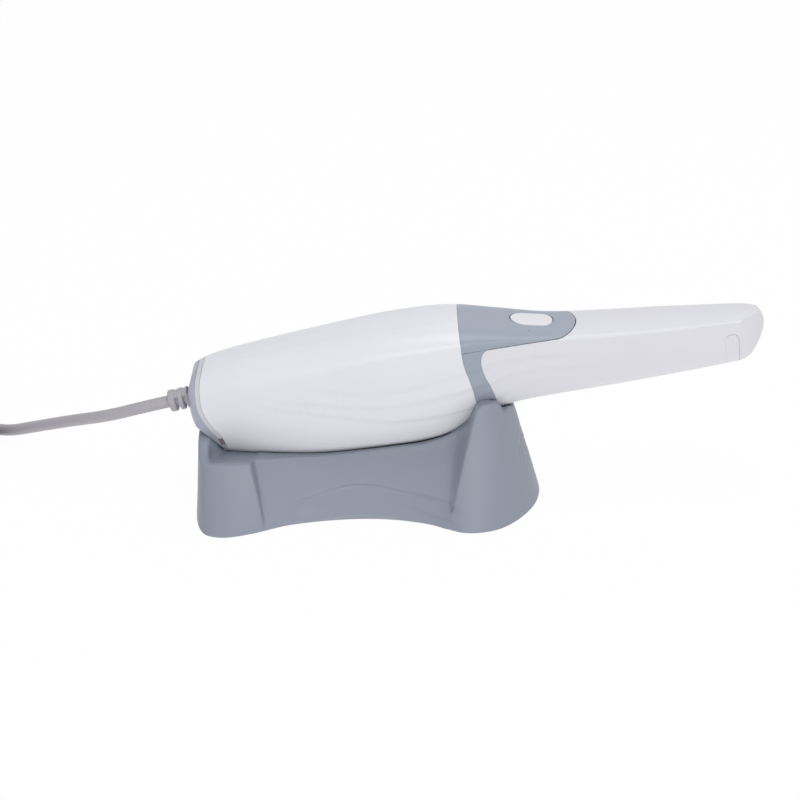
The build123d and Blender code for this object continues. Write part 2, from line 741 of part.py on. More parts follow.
def make_usb_plug():
    """Moulded grip of the plug, with a short sleeve towards the cable."""
    plane = plug_place()
    grip = extrude(plane.offset(6) * RectangleRounded(plug_height, plug_width, 2.6), plug_length - 6)
    neck = Solid.make_cone(cable_radius + 0.7, cable_radius + 1.3, 6, plane)
    return one(grip + neck)


def make_usb_shell():
    """Bent metal shell of the plug."""
    plane = plug_place().offset(plug_length)
    box = extrude(plane * RectangleRounded(shell_height, shell_width, 0.4), shell_length)
    inner = plane.offset(0.6) * Rectangle(shell_height - 2 * shell_wall, shell_width - 2 * shell_wall)
    return one(box - extrude(inner, shell_length))


def make_usb_tongue():
    """Plastic tongue inside the shell."""
    plane = plug_place().offset(plug_length + 0.6)
    low = plane * Pos(-shell_height / 2 + shell_wall + 0.95, 0) * Rectangle(1.9, shell_width - 2 * shell_wall)
    return one(extrude(low, shell_length - 2))


def outline(half_points, level, inset):
    """Closed plan outline of the cradle at a level, moved inwards."""
    middle_x = (half_points[0][0] + half_points[-1][0]) / 2
    points = []
    for x, y in half_points:
        reach = abs(x - middle_x)
        points.append(Vector(middle_x + (x - middle_x) * (reach - inset) / reach, max(y - inset, 0), level))
    back = [Vector(p.X, -p.Y, level) for p in points[-2:0:-1]]
    return Wire([Edge.make_spline(points + back, periodic=True)])


def cradle_form(inset, low):
    """Outer form of the cradle, from its foot to above its arms, moved inwards."""
    wires = [outline(foot_half_outline, 0, inset), outline(middle_half_outline, level_middle, inset),
             outline(top_half_outline, level_top, inset)]
    form = Solid.make_loft(wires)
    return form & block(-120, 120, -80, 80, low, level_top + 5)


def cradle_skyline(drop):
    """Prism below the cradle's rim, seen from the side, lowered by drop."""
    rear_inner = middle_half_outline[0][0] + rear_wall_thickness
    rail = [Vector(-46.5, 0, rail_level_rear - drop), Vector(-17, 0, rail_level_rear + 0.3 - drop),
            Vector(12, 0, rail_level_middle - drop), Vector(34, 0, rail_level_front - drop),
            Vector(45, 0, arm_top - 1.6 - drop)]
    shelf = [Vector(-90, 0, rear_wall_top - drop), Vector(rear_inner - drop, 0, rear_wall_top - drop),
             Vector(rear_inner + 1.2 - drop, 0, shelf_level - drop), Vector(-50, 0, shelf_level - drop)]
    arm = [Vector(45 + 2.5, 0, arm_top - drop), Vector(arm_front_x - 1.5, 0, arm_top - drop),
           Vector(arm_front_x - drop * 0.4, 0, arm_top - 2.5 - drop),
           Vector(57.8 - drop * 0.4, 0, front_rim_level - drop), Vector(90, 0, front_rim_level - drop),
           Vector(90, 0, -10), Vector(-90, 0, -10)]
    edges = [Edge.make_line(a, b) for a, b in zip(shelf, shelf[1:])]
    edges.append(Edge.make_line(shelf[-1], rail[0]))
    edges.append(Edge.make_spline(rail))
    chain = [rail[-1]] + arm + [shelf[0]]
    edges += [Edge.make_line(a, b) for a, b in zip(chain, chain[1:])]
    return Solid.extrude(Face(Wire(edges)), Vector(0, 160, 0)).moved(Location((0, -80, 0)))


def trough():
    """Room of the handpiece in the cradle: close at the two saddles, wider between and in front of them."""
    close = hull(-seat_gap).moved(handpiece_place)
    wide = hull(-trough_gap).moved(handpiece_place)
    between = block(-47.5, 36, -60, 60, 0, 100)
    front = block(51, 100, -60, 60, 0, 100)
    return close + (wide & between) + (wide & front)


def waist(wall):
    """Room beside the cradle's side wall, from the foot up; wall moves it inwards."""
    wires = []
    for level, points in zip(waist_levels, (waist_foot, waist_low, waist_high, waist_top)):
        low_x = points[0][0] - wall
        high_x = points[-1][0] + wall
        inner = [Vector(low_x, points[0][1] - wall, level)]
        inner = inner + [Vector(x, y - wall, level) for x, y in points[1:-1]]
        inner = inner + [Vector(high_x, points[-1][1] - wall, level)]
        first = Vector(low_x, 60, level)
        last = Vector(high_x, 60, level)
        wires.append(Wire([Edge.make_line(first, inner[0]), Edge.make_spline(inner),
                           Edge.make_line(inner[-1], last), Edge.make_line(last, first)]))
    return Solid.make_loft(wires)


def make_cradle_shell():
    """Moulded cradle, hollow from below, with four screw bosses; one half is made and mirrored."""
    half = block(-120, 120, 0, 80, -10, 90)
    solid = cradle_form(0.0, sole_reveal) & cradle_skyline(0.0) & half
    solid = solid - trough() - waist(0.0)
    cavity = cradle_form(cradle_wall, -5) & cradle_skyline(cradle_wall + 0.6) & half
    cavity = cavity - waist(cradle_wall)
    cavity = cavity - hull(-trough_gap - cradle_wall).moved(handpiece_place)
    boss_low = sole_thickness + base_plate_thickness + base_gap
    near_bosses = [(x, y) for x, y in boss_places if y > 0]
    for x, y in near_bosses:
        cavity = cavity - rod(boss_radius, (x, y, boss_low), (x, y, 60))
    solid = solid - cavity
    for x, y in near_bosses:
        solid = solid - rod(boss_hole_radius, (x, y, 0), (x, y, 12))
    return one(solid + solid.mirror(Plane.XZ))


def make_cradle_base():
    """Flat plate that closes the cradle from below."""
    plate = cradle_form(cradle_wall + base_gap, sole_thickness)
    plate = plate & block(-120, 120, 0, 80, sole_thickness, sole_thickness + base_plate_thickness)
    plate = plate - waist(cradle_wall + base_gap)
    plate = plate + plate.mirror(Plane.XZ)
    for x, y in boss_places:
        plate = plate - rod(boss_hole_radius, (x, y, 0), (x, y, 12))
    return one(plate)


def make_base_screws():
    """Four screws that hold the base plate."""
    radius = boss_hole_radius - 0.05
    return Compound([rod(radius, (x, y, sole_thickness), (x, y, 10.5)) for x, y in boss_places])


def make_ballast():
    """Steel weight on the base plate that keeps the cradle steady."""
    low = sole_thickness + base_plate_thickness
    half = ballast_length / 2
    weight = block(-half, half, -ballast_width / 2, ballast_width / 2, low, low + ballast_height)
    return weight.chamfer(1.0, None, weight.edges().filter_by(Axis.Z))


def make_rubber_sole():
    """Soft mat under the whole foot."""
    face = Face(outline(foot_half_outline, 0, sole_inset))
    mat = Solid.extrude(face, Vector(0, 0, sole_thickness)) & block(-120, 120, 0, 80, 0, sole_thickness)
    mat = mat - waist(cradle_wall + 2 * base_gap)
    return one(mat + mat.mirror(Plane.XZ))


def tilted(shape):
    """A piece of the handpiece in its place on the cradle."""
    return shape.moved(handpiece_place)


pieces = {
    "main_housing": tilted(make_main_housing()),
    "spine_cover": tilted(make_spine_cover()),
    "upper_cover": tilted(make_upper_cover()),
    "grip_collar": tilted(make_grip_collar()),
    "rear_ring": tilted(make_rear_ring("ring")),
    "ring_contact_patch": tilted(make_rear_ring("contact")),
    "ring_light_patch": tilted(make_rear_ring("light")),
    "rear_cap": tilted(make_rear_cap()),
    "scan_button": tilted(make_scan_button()),
    "status_light": tilted(make_status_light()),
    "tip_sleeve": tilted(make_tip_sleeve()),
    "mirror_holder": tilted(make_mirror_holder()),
    "tip_mirror": tilted(make_tip_mirror()),
    "nose_tube": tilted(make_nose_tube()),
    "nose_window": tilted(make_nose_window()),
    "lens_barrel": tilted(make_lens_barrel()),
    "rear_lens": tilted(make_lens(band_rear + 8)),
    "front_lens": tilted(make_lens(barrel_front - 3)),
    "optical_chassis": tilted(make_optical_chassis()),
    "chassis_screws": tilted(make_chassis_screws()),
    "beam_splitter": tilted(make_beam_splitter()),
    "projector_module": tilted(make_projector()),
    "camera_module": tilted(make_camera_module()),
    "main_board": tilted(make_main_board()),
    "board_chips": tilted(make_board_chips()),
    "heat_spreader": tilted(make_heat_spreader()),
    "button_switch": tilted(make_button_switch()),
    "tip_spring": tilted(make_tip_spring()),
    "cable_boot": tilted(make_cable_boot().moved(boot_place())),
    "cable_clamp": tilted(make_cable_clamp().moved(boot_place())),
    "cable": make_cable(),
    "cable_coil": coil_ring(),
    "cable_tail": make_cable_tail(),
    "cable_tie": make_cable_tie(),
    "usb_plug": make_usb_plug(),
    "usb_shell": make_usb_shell(),
    "usb_tongue": make_usb_tongue(),
    "cradle_shell": make_cradle_shell(),
    "cradle_base": make_cradle_base(),
    "base_screws": make_base_screws(),
    "ballast_weight": make_ballast(),
    "rubber_sole": make_rubber_sole(),
}

for name, piece in pieces.items():
    export_step(piece, "parts/" + name + ".step")
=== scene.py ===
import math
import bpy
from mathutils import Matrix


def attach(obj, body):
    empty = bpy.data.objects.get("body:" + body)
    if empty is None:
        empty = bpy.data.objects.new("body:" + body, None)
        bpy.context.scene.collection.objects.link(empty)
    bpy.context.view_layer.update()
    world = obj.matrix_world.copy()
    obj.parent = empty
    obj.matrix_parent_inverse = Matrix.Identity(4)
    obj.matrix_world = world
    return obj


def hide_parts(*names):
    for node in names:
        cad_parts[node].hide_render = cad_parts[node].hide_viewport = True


bl_info = {
    "name": "Intraoral scanner in its cradle",
    "version": (1, 0, 0),
    "blender": (4, 5, 0),
    "location": "3D View > Sidebar > Scanner",
    "description": "Moulded shells, cable and finishes of a hand-held intraoral scanner in its desk cradle",
    "category": "Object",
}

import bmesh
import bpy
import numpy as np
from mathutils import Vector

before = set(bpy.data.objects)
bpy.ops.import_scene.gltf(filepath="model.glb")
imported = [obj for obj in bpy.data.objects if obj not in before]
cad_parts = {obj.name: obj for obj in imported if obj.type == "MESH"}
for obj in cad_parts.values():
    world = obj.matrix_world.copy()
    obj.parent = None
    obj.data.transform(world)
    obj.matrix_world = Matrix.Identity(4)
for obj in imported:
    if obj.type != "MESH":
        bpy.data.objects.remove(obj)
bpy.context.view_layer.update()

MM = 0.001

# Place of the handpiece on its cradle, in mm and degrees
REAR_X = -76.5
REAR_Z = 38.9
TILT = math.radians(8.6)

# Guide lines of the handpiece: (distance from the rear, offset from the axis), in mm
SIDE_LINE = [(0, 10.5), (30, 15.3), (80, 19.2), (106, 19.6), (120, 18.7), (136, 16.4), (156, 14.2),
             (180, 13.3), (205, 12.3), (228, 10.0), (245, 8.5)]
CROWN_LINE = [(0, 16.6), (6, 19.5), (13, 22.2), (30, 24.6), (80, 28.1), (106, 28.4), (120, 26.8),
              (136, 22.7), (156, 18.3), (180, 15.6), (205, 13.5), (228, 11.6), (245, 10.2)]
RIDGE_LINE = [(0, 5.6), (30, 10.9), (80, 18.0), (106, 19.5), (120, 19.4), (136, 18.1), (156, 14.7),
              (180, 12.5), (205, 10.9), (228, 9.6), (245, 8.6)]
KEEL_LINE = [(0, -18.8), (30, -26.0), (50, -29.2), (80, -29.7), (106, -28.0), (120, -22.2), (136, -16.9),
             (156, -15.3), (180, -14.4), (205, -13.1), (228, -12.0), (245, -10.6)]
CROWN_POWER = 2.1
FLANK_POWER_BODY = 2.25
FLANK_POWER_TIP = 2.65
FLANK_CHANGE_START = 100
FLANK_CHANGE_RUN = 100

# Seams in side view: (distance from the rear, height above the axis)
REAR_PROFILE = [(13.0, 25.0), (9.2, 21.0), (5.9, 17.9), (3.1, 11.9), (1.2, 6.0), (0.9, 1.4), (2.0, -1.6),
                (3.6, -4.6), (5.4, -7.2), (8.2, -11.2), (11.0, -15.5), (14.5, -22.0), (16.0, -27.0)]
RING_PROFILE = [(12.6, 27.0), (11.4, 22.1), (10.2, 19.6), (8.5, 14.5), (7.6, 7.0), (7.7, 3.0), (9.0, -1.8),
                (11.0, -6.6), (12.8, -9.4), (13.7, -12.6), (14.4, -20.0), (15.0, -27.0)]
BAND_PROFILE = [(119.6, 34.0), (119.6, 22.0), (119.6, 13.0), (120.2, 8.0), (121.4, 1.8), (122.2, -5.0),
                (122.6, -12.0), (123.0, -27.0)]
TIP_REAR_PROFILE = [(131.0, 16.4), (128.4, 15.2), (127.0, 12.8), (126.6, 9.4), (127.4, 4.0), (129.0, -1.2),
                    (130.4, -8.0), (131.5, -24.0)]
TIP_END_PROFILE = [(236.0, 14.5), (241.6, 11.6), (244.7, 8.4), (245.4, 5.0), (244.9, 2.2), (243.0, -1.6),
                   (239.8, -5.4), (236.2, -8.8), (232.0, -12.0), (229.0, -14.6)]

# Rounded ends in plan: (distance from the rear or from the end, half width)
TIP_NOSE = [(232.6, 9.95), (234.3, 9.35), (239.4, 6.3), (243.6, 2.9), (245.6, 0)]
DOME_START = 1.0
DOME = [(7.0, 16), (3.8, 12.4), (1.6, 8.4), (0.4, 4.2), (0, 0)]

# Tongue of the cover: its lower edge in side view, its half width and its end as (back, share of width)
TONGUE_EDGE = ((131.0, 16.3), (160.0, 15.3))
TONGUE_HALF = 13.6
TONGUE_END = 167.8
TONGUE_NOSE = [(9.0, 1.0), (6.3, 0.93), (3.6, 0.78), (1.7, 0.56), (0.5, 0.3), (0.0, 0.0)]

# Button in plan
BUTTON_REAR = 141.0
BUTTON_FRONT = 158.5
BUTTON_HALF = 5.7
BUTTON_FRONT_RUN = 4.4

# Long wave-like ledges on the flanks, from body over the band to the tip: (along, height)
LEDGES = [
    [(50, 12.0), (56.5, 9.2), (72, 4.6), (89, 3.6), (103.5, 4.8), (118.5, 6.6), (122, 7.6), (126.5, 7.9),
     (134.5, 9.0), (147, 9.0), (156, 8.3), (168, 6.6)],
    [(34, 7.6), (41.5, 4.7), (62, 0.2), (82.5, -3.8), (102, -3.5), (120.5, -1.1), (128, -0.4), (139, 2.0),
     (153.5, 2.3), (164, 0.9), (176, -1.4)],
    [(26, 6.4), (34, 3.1), (57, -3.4), (76, -9.2), (88, -12.0), (103.5, -12.2), (118, -11.6), (129, -9.8),
     (138.5, -5.4), (147, -3.0), (156, -2.4), (166, -3.4)],
]
# Section of a ledge: lip above its line, run of the step, where it turns back, fades at its two ends
LEDGE_LIP = 0.25
LEDGE_STEP = 0.9
LEDGE_FOOT = 0.65
LEDGE_FADES = (18, 14)

# Wave-like ledges of the cradle: on its side walls as (along, height), on its front as (across, height)
WALL_LEDGES = [
    [(-34, 6.6), (-28.4, 8.1), (-24.2, 8.9), (-15.8, 10.8), (-7.3, 12.5), (3.3, 12.4), (16, 10.4),
     (24.4, 9.6), (31.5, 9.2), (40, 10.5)],
    [(-27, 7.2), (-20.8, 8.0), (-15.8, 8.9), (-7.3, 9.8), (7.5, 8.0), (20.2, 5.2), (31.5, 3.6), (40, 4.4)]]
FRONT_LEDGES = [[(0, top), (6, top - 0.6), (12, top - 3.0), (18, top - 7.5)]
                for top in (30.4, 27.2, 24.0, 20.8)]
# Sections of the cradle's ledges, which are softer
WALL_LEDGE_DEPTH = 1.2
WALL_LEDGE_RUN = 7.0
FRONT_LEDGE_DEPTH = 0.35
FRONT_LEDGE_RUN = 1.4
FRONT_LEDGE_START = 56
SOFT_LIP = 1.0
SOFT_STEP = 2.2
SOFT_FOOT = 1.2
SOFT_FADES = (8, 6)

# Plan of the cradle at its foot, half way up and at its top, half of each outline, in mm
CRADLE_TOP = 52.0
CRADLE_OUTLINES = (
    [(-72.9, 0), (-72.3, 26), (-68, 40.3), (-60, 43.4), (-48, 40.2), (-32, 32.8), (-6, 28.0), (14, 29.2),
     (32, 36.8), (45, 39.7), (58, 34.6), (70.6, 17.8), (74.6, 0)],
    [(-71.9, 0), (-71.3, 17), (-68, 25.3), (-60, 27.6), (-48, 26.9), (-32, 25.0), (-6, 24.2), (14, 24.4),
     (32, 26.2), (45, 27.8), (56, 24.5), (64.5, 12.5), (66.9, 0)],
    [(-71, 0), (-70.4, 13), (-67.5, 19.6), (-60, 21.9), (-48, 21.3), (-32, 20.6), (-6, 20.2), (14, 20.2),
     (32, 20.6), (45, 20.8), (53, 18.8), (57.6, 10), (58.9, 0)])

# Side wall of the cradle between its two saddles: plan at four levels
WAIST_LEVELS = (-1.0, 12.0, 27.0, 54.0)
WAIST_LINES = (
    [(-42.5, 39.0), (-25, 32.2), (-3, 29.4), (16, 30.8), (28, 35.0), (34.5, 39.6), (38.5, 44.0)],
    [(-45.2, 26.0), (-25, 22.2), (-3, 20.8), (16, 21.6), (28, 24.2), (35.0, 28.0), (37.8, 34.5)],
    [(-48.9, 14.6), (-25, 11.4), (-3, 11.0), (17, 11.4), (31, 12.6), (38.0, 16.4), (40.2, 26.5)],
    [(-52.5, 9.4), (-25, 8.0), (-3, 7.8), (20, 8.0), (39, 9.0), (45.2, 13.0), (47.2, 21.5)])

# Rim of the cradle in side view: rear wall, shelf, side wall, arm and front rim
RIM_REAR = [(-90, 32.5), (-54, 32.5), (-49, 28.5)]
RIM_SIDE = [(-47.5, 22.8), (-41.2, 22.6), (-32.8, 22.5), (-17.6, 22.7), (-1.4, 24.4), (13.8, 26.3),
            (24.7, 27.9), (35.4, 32.3), (41.6, 37.4), (43.2, 40.5)]
RIM_FRONT = [(45.3, 48.2), (47.5, 50.3), (53.7, 50.3), (55.0, 48.6), (57.0, 44.6), (58.2, 44.4),
             (61.0, 46.0), (90, 46.0)]

# Rear saddle seen from the rear: top of its wall and its dished shelf, as (across, height)
WALL_TOP = [(0, 31.8), (7, 31.4), (11, 30.3), (14.5, 28.8), (18, 27.4), (22, 26.2), (26, 25.3),
            (30, 24.4), (46, 18)]
SHELF_TOP = [(0, 21.6), (8, 21.8), (13, 22.3), (18, 23.3), (22, 24.6), (25, 25.7), (27.5, 25.2),
             (46, 15.0)]

# Half width of the saddle's tool, its ramp from wall to shelf, and where wall and shelf end
SADDLE_HALF = 46.0
RAMP_HALF = 7.0
RAMP_FADE = 8.0
RAMP_STEEPER = 0.72
WALL_INNER = -67.4
SHELF_REAR = -61.0
SHELF_FRONT = -46.9

# Gaps under the handpiece and walls of the mouldings, in mm
SEAT_GAP = 0.3
TROUGH_GAP = 1.0
SPAN_GAP = 0.8
CRADLE_WALL = 2.6
SOLE_REVEAL = 0.25
SEAM_GAP = 0.12
SLIDE_GAP = 0.35
RING_WIDTH = 1.9
BODY_WALL = 2.0
COVER_WALL = 1.9
RING_WALL = 2.8
CAP_WALL = 2.4
TIP_WALL = 1.7
STRIP_HALF = 7.0

# Ribbed boot: its axis in the row frame, its ribs along that axis, and its radii
BOOT_WAY = Vector((-0.9703, 0, -0.2419))
BOOT_UP = Vector((-0.2419, 0, 0.9703))
BOOT_RIBS = ((-0.6, 0.6), (1.75, 4.0), (5.2, 8.35))
BOOT_END = 8.2
BOOT_CORE = 2.85
BOOT_RIB_FOOT = 2.9
BOOT_RIB_RISE = 1.8
BOOT_WEB = 4.35
BOOT_MOUTH = 2.2

CUT, KEEP, JOIN = "DIFFERENCE", "INTERSECT", "UNION"


def panel_colour(label, description, default):
    """A colour that the panel shows."""
    return bpy.props.FloatVectorProperty(
        name=label, description=description, subtype="COLOR", min=0, max=1, default=default)


class ScannerColours(bpy.types.PropertyGroup):
    """Colours of the outside, as they are seen under plain white light."""
    body: panel_colour("Body", "White of the main housing", (0.72, 0.72, 0.76))
    tip: panel_colour("Tip", "White of the removable tip", (0.665, 0.66, 0.70))
    ring: panel_colour("Ring", "Off-white of the rear ring", (0.58, 0.57, 0.61))
    cover: panel_colour("Cover", "Blue grey of the cover with the tongue", (0.292, 0.325, 0.392))
    band: panel_colour("Band", "Blue grey of the band round the body", (0.30, 0.335, 0.40))
    cap: panel_colour("Cap", "Grey of the rear cap", (0.36, 0.375, 0.44))
    button: panel_colour("Button", "White of the scan button", (0.72, 0.715, 0.75))
    cradle: panel_colour("Cradle", "Grey of the cradle", (0.238, 0.26, 0.316))
    cable: panel_colour("Cable", "Grey of the cable and its boot", (0.385, 0.37, 0.40))


def panel_length(label, description, default, low, high):
    """A length that the panel shows."""
    return bpy.props.FloatProperty(
        name=label, description=description, default=default, min=low, max=high, unit="LENGTH")


class ScannerSizes(bpy.types.PropertyGroup):
    """Sizes of the surface detail, of the cable and of the floor."""
    ledge_depth: panel_length("Ledge depth", "How far each wave-like ledge steps in", 0.00046, 0, 0.002)
    ledge_run: panel_length("Ledge run", "Distance over which the surface comes back below a ledge",
                            0.0088, 0.001, 0.03)
    cable_diameter: panel_length("Cable diameter", "Outer diameter of the cable", 0.0052, 0.003, 0.01)
    floor_size: panel_length("Floor size", "Length of each side of the floor", 6.0, 1, 20)


def guide(line, u):
    """Height of a smooth curve through the points of a guide line, straight beyond its ends."""
    xs, ys = np.array(list(line), float).T
    slopes = np.empty(len(xs))
    slopes[1:-1] = (ys[2:] - ys[:-2]) / (xs[2:] - xs[:-2])
    slopes[0] = (ys[1] - ys[0]) / (xs[1] - xs[0])
    slopes[-1] = (ys[-1] - ys[-2]) / (xs[-1] - xs[-2])
    u = np.asarray(u, float)
    k = np.clip(np.searchsorted(xs, u, side="right") - 1, 0, len(xs) - 2)
    span = xs[k + 1] - xs[k]
    t = (u - xs[k]) / span
    inside = ((1 + 2 * t) * (1 - t) ** 2 * ys[k] + t * (1 - t) ** 2 * span * slopes[k]
              + t * t * (3 - 2 * t) * ys[k + 1] + t * t * (t - 1) * span * slopes[k + 1])
    before = ys[0] + slopes[0] * (u - xs[0])
    after = ys[-1] + slopes[-1] * (u - xs[-1])
    return np.where(u < xs[0], before, np.where(u > xs[-1], after, inside))


def distances(points):
    """Distance of each point from the first, along the line through them."""
    return np.concatenate([[0], np.cumsum(np.linalg.norm(np.diff(points, axis=0), axis=1))])


def smooth(points, count):
    """Points along a smooth curve through the given ones."""
    p = np.array(points, float)
    along = distances(p)
    at = np.linspace(0, along[-1], count)
    return list(zip(*(guide(zip(along, column), at).tolist() for column in p.T)))


def rounded(half):
    """Smooth outline from half of a rounded end and its mirror image."""
    return smooth(half + [(u, -v) for u, v in half[-2::-1]], 41)


def eased(share):
    """Soft step from 0 to 1."""
    share = np.clip(share, 0, 1)
    return share * share * (3 - 2 * share)


def hull_points(u, t, inset):
    """Points of the handpiece's outer form: u along it, t once round it from the keel, both arrays."""
    half = guide(SIDE_LINE, u) - inset
    rise = guide(CROWN_LINE, u) - guide(RIDGE_LINE, u)
    top = guide(CROWN_LINE, u) - inset
    ridge = guide(RIDGE_LINE, u) - inset * np.maximum(0, 1 - rise / guide(SIDE_LINE, u))
    keel = guide(KEEL_LINE, u) + inset
    blend = np.clip((u - FLANK_CHANGE_START) / FLANK_CHANGE_RUN, 0, 1)
    flank = FLANK_POWER_BODY + (FLANK_POWER_TIP - FLANK_POWER_BODY) * blend
    k_flank = (8 * 0.5 ** (1 / flank) - 4) / 3
    k_crown = (8 * 0.5 ** (1 / CROWN_POWER) - 4) / 3
    t = t % 1.0
    quarter = np.floor(4 * t).astype(int)
    a = 4 * t - quarter
    b = np.where((quarter == 1) | (quarter == 3), 1 - a, a)
    side = np.where(quarter < 2, 1.0, -1.0)
    low = (quarter == 0) | (quarter == 3)
    k = np.where(low, k_flank, k_crown)
    middle = np.where(low, keel, top)
    first, second, third, last = (1 - b) ** 3, 3 * (1 - b) ** 2 * b, 3 * (1 - b) * b ** 2, b ** 3
    v = half * (second * k + third + last)
    w = middle * (first + second) + (ridge + (middle - ridge) * k) * third + ridge * last
    return np.stack([u, side * v, w], -1)


def ledge_relief(u, w):
    """Depth of the ledges at a point of the flank, in units of the ledge depth."""
    run = bpy.context.scene.scanner_sizes.ledge_run / MM
    depth = np.zeros_like(u)
    for line in LEDGES:
        below = guide(line, u) - w
        step = eased((below + LEDGE_LIP) / LEDGE_STEP)
        back = np.clip(1 - (below - LEDGE_FOOT) / run, 0, 1)
        start, end = line[0][0], line[-1][0]
        fade = np.clip((u - start) / LEDGE_FADES[0], 0, 1) * np.clip((end - u) / LEDGE_FADES[1], 0, 1)
        depth = np.maximum(depth, step * back * back * fade)
    return depth


def placed(points):
    """From the handpiece's own coordinates in mm to the row frame in metres."""
    p = np.asarray(points, float).reshape(-1, 3)
    x = REAR_X + p[:, 0] * math.cos(TILT) - p[:, 2] * math.sin(TILT)
    z = REAR_Z + p[:, 0] * math.sin(TILT) + p[:, 2] * math.cos(TILT)
    return np.stack([x, p[:, 1], z], 1) * MM


def upright(points):
    """From the cradle's coordinates in mm to the row frame in metres."""
    return np.asarray(points, float).reshape(-1, 3) * MM


def linked(name, data):
    """An object of the scene that carries the data."""
    obj = bpy.data.objects.new(name, data)
    bpy.context.scene.collection.objects.link(obj)
    return obj


def new_object(name, points, faces):
    """A mesh object from points in metres, with its faces turned outwards."""
    mesh = bpy.data.meshes.new(name)
    mesh.from_pydata([tuple(p) for p in points], [], faces)
    work = bmesh.new()
    work.from_mesh(mesh)
    bmesh.ops.recalc_face_normals(work, faces=work.faces)
    work.to_mesh(mesh)
    work.free()
    return linked(name, mesh)


def lofted(rings):
    """Faces of a closed body lofted through rings of equally many points, capped at both ends."""
    rows, count = rings.shape[:2]
    index = np.arange(rows * count).reshape(rows, count)
    faces = []
    for i in range(rows - 1):
        a, b = index[i], index[i + 1]
        faces += list(zip(a.tolist(), np.roll(a, -1).tolist(), np.roll(b, -1).tolist(), b.tolist()))
    faces.append(index[0][::-1].tolist())
    faces.append(index[-1].tolist())
    return faces


def form(rings, place=placed, name="form"):
    """Closed object lofted through rings of points in mm."""
    rings = np.asarray(rings, float)
    return new_object(name, place(rings), lofted(rings))


def hull(inset, rear, front, step, around, ledges=False):
    """Closed body of the handpiece's form, moved inwards, between two stations."""
    u = np.linspace(rear, front, int(round((front - rear) / step)) + 1)
    t = (np.arange(around) + 0.5) / around
    uu, tt = np.meshgrid(u, t, indexing="ij")
    p = hull_points(uu, tt, inset)
    if ledges:
        d = 0.02
        along = hull_points(uu + d, tt, inset) - p
        round_it = hull_points(uu, tt + d / 100, inset) - p
        normal = np.cross(along, round_it)
        normal /= np.linalg.norm(normal, axis=-1, keepdims=True) + 1e-12
        outward = np.sign(np.sum(normal * (p * [0, 1, 1]), axis=-1, keepdims=True))
        amount = bpy.context.scene.scanner_sizes.ledge_depth / MM
        p = p - normal * outward * (ledge_relief(uu, p[..., 2]) * amount)[..., None]
    return form(p)


def prism(outline, plane, low, high, place=placed):
    """Closed prism over an outline: plane 'side' spans (u, w) and 'plan' spans (u, v)."""
    column = 1 if plane == "side" else 2
    return form([np.insert(np.array(outline, float), column, level, axis=1) for level in (low, high)], place)


def shifted(profile, distance):
    """A seam moved along the handpiece."""
    return [(u + distance, w) for u, w in profile]


def beyond(profile, distance, end):
    """Everything between a seam and a far end."""
    curve = smooth(shifted(profile, distance), 60)
    return prism(curve + [(end, curve[-1][1]), (end, curve[0][1])], "side", -45, 45)


def behind(profile, distance=0.0):
    """Everything to the rear of a seam."""
    return beyond(profile, distance, -40)


def ahead(profile, distance=0.0):
    """Everything in front of a seam."""
    return beyond(profile, distance, 290)


def slab(u0, u1, v0, v1, w0, w1, place=placed):
    """Plain block between two stations, two sides and two heights."""
    return prism([(u0, w0), (u1, w0), (u1, w1), (u0, w1)], "side", v0, v1, place)


def tongue_prisms(gap):
    """Two prisms whose common part is the room of the cover's tongue, larger by gap."""
    (start, rear_level), (end, front_level) = TONGUE_EDGE
    slope = (front_level - rear_level) / (end - start)
    edge = [(u, rear_level - gap + slope * (u - start)) for u in (100, 200)]
    above = prism(edge + [(200, 60), (100, 60)], "side", -45, 45)
    nose = rounded([(TONGUE_END + gap - back, (TONGUE_HALF + gap) * share) for back, share in TONGUE_NOSE])
    root = nose[0][0]
    plan = prism(nose + [(root, -30), (90, -30), (90, 30), (root, 30)], "plan", -20, 60)
    return above, plan


def tip_end(depth):
    """Steps that keep what lies in the tip's rounded end."""
    side_curve = smooth(shifted(TIP_END_PROFILE, -depth), 60)
    side = prism(side_curve + [(60, -60), (60, 60), (236 - depth, 60)], "side", -45, 45)
    nose = shifted(rounded(TIP_NOSE), -depth)
    plan = prism(nose + [(200, -14), (60, -40), (60, 40), (200, 14)], "plan", -40, 60)
    return [(KEEP, side), (KEEP, plan)]


def rear_end(depth):
    """Steps that keep what lies in the domed rear end."""
    nose = rounded([(DOME_START + depth + back, v) for back, v in DOME])
    plan = prism(nose + [(60, -40), (60, 40)], "plan", -50, 50)
    return [(KEEP, ahead(REAR_PROFILE, depth)), (KEEP, plan)]


def button_outline(grow):
    """Plan of the button: a half round at the rear and a flatter round in front."""
    half = BUTTON_HALF + grow
    rear = BUTTON_REAR - grow + half
    corner = BUTTON_FRONT - BUTTON_FRONT_RUN
    run = BUTTON_FRONT_RUN + grow
    turns = [(math.cos(math.radians(a)), math.sin(math.radians(a))) for a in np.linspace(-90, 90, 25)]
    front = [(corner + run * c, half * s) for c, s in turns]
    return front + [(rear - half * c, -half * s) for c, s in turns]


def rod(radius, start, end, sides=32, place=placed):
    """Round bar between two points in the handpiece's coordinates."""
    a, b = place([start])[0], place([end])[0]
    axis = Vector(b - a)
    turn = Vector((0, 0, 1)).rotation_difference(axis)
    angles = [k * math.tau / sides for k in range(sides)]
    circle = [Vector((radius * MM * math.cos(a), radius * MM * math.sin(a), 0)) for a in angles]
    rings = np.array([[tuple(Vector(base) + turn @ c) for c in circle] for base in (a, b)])
    return new_object("form", rings.reshape(-1, 3), lofted(rings))


def stacked(plans, levels):
    """Rings of points from a plan at each level."""
    return np.concatenate([plans, np.broadcast_to(levels[:, None, None], plans.shape[:2] + (1,))], -1)


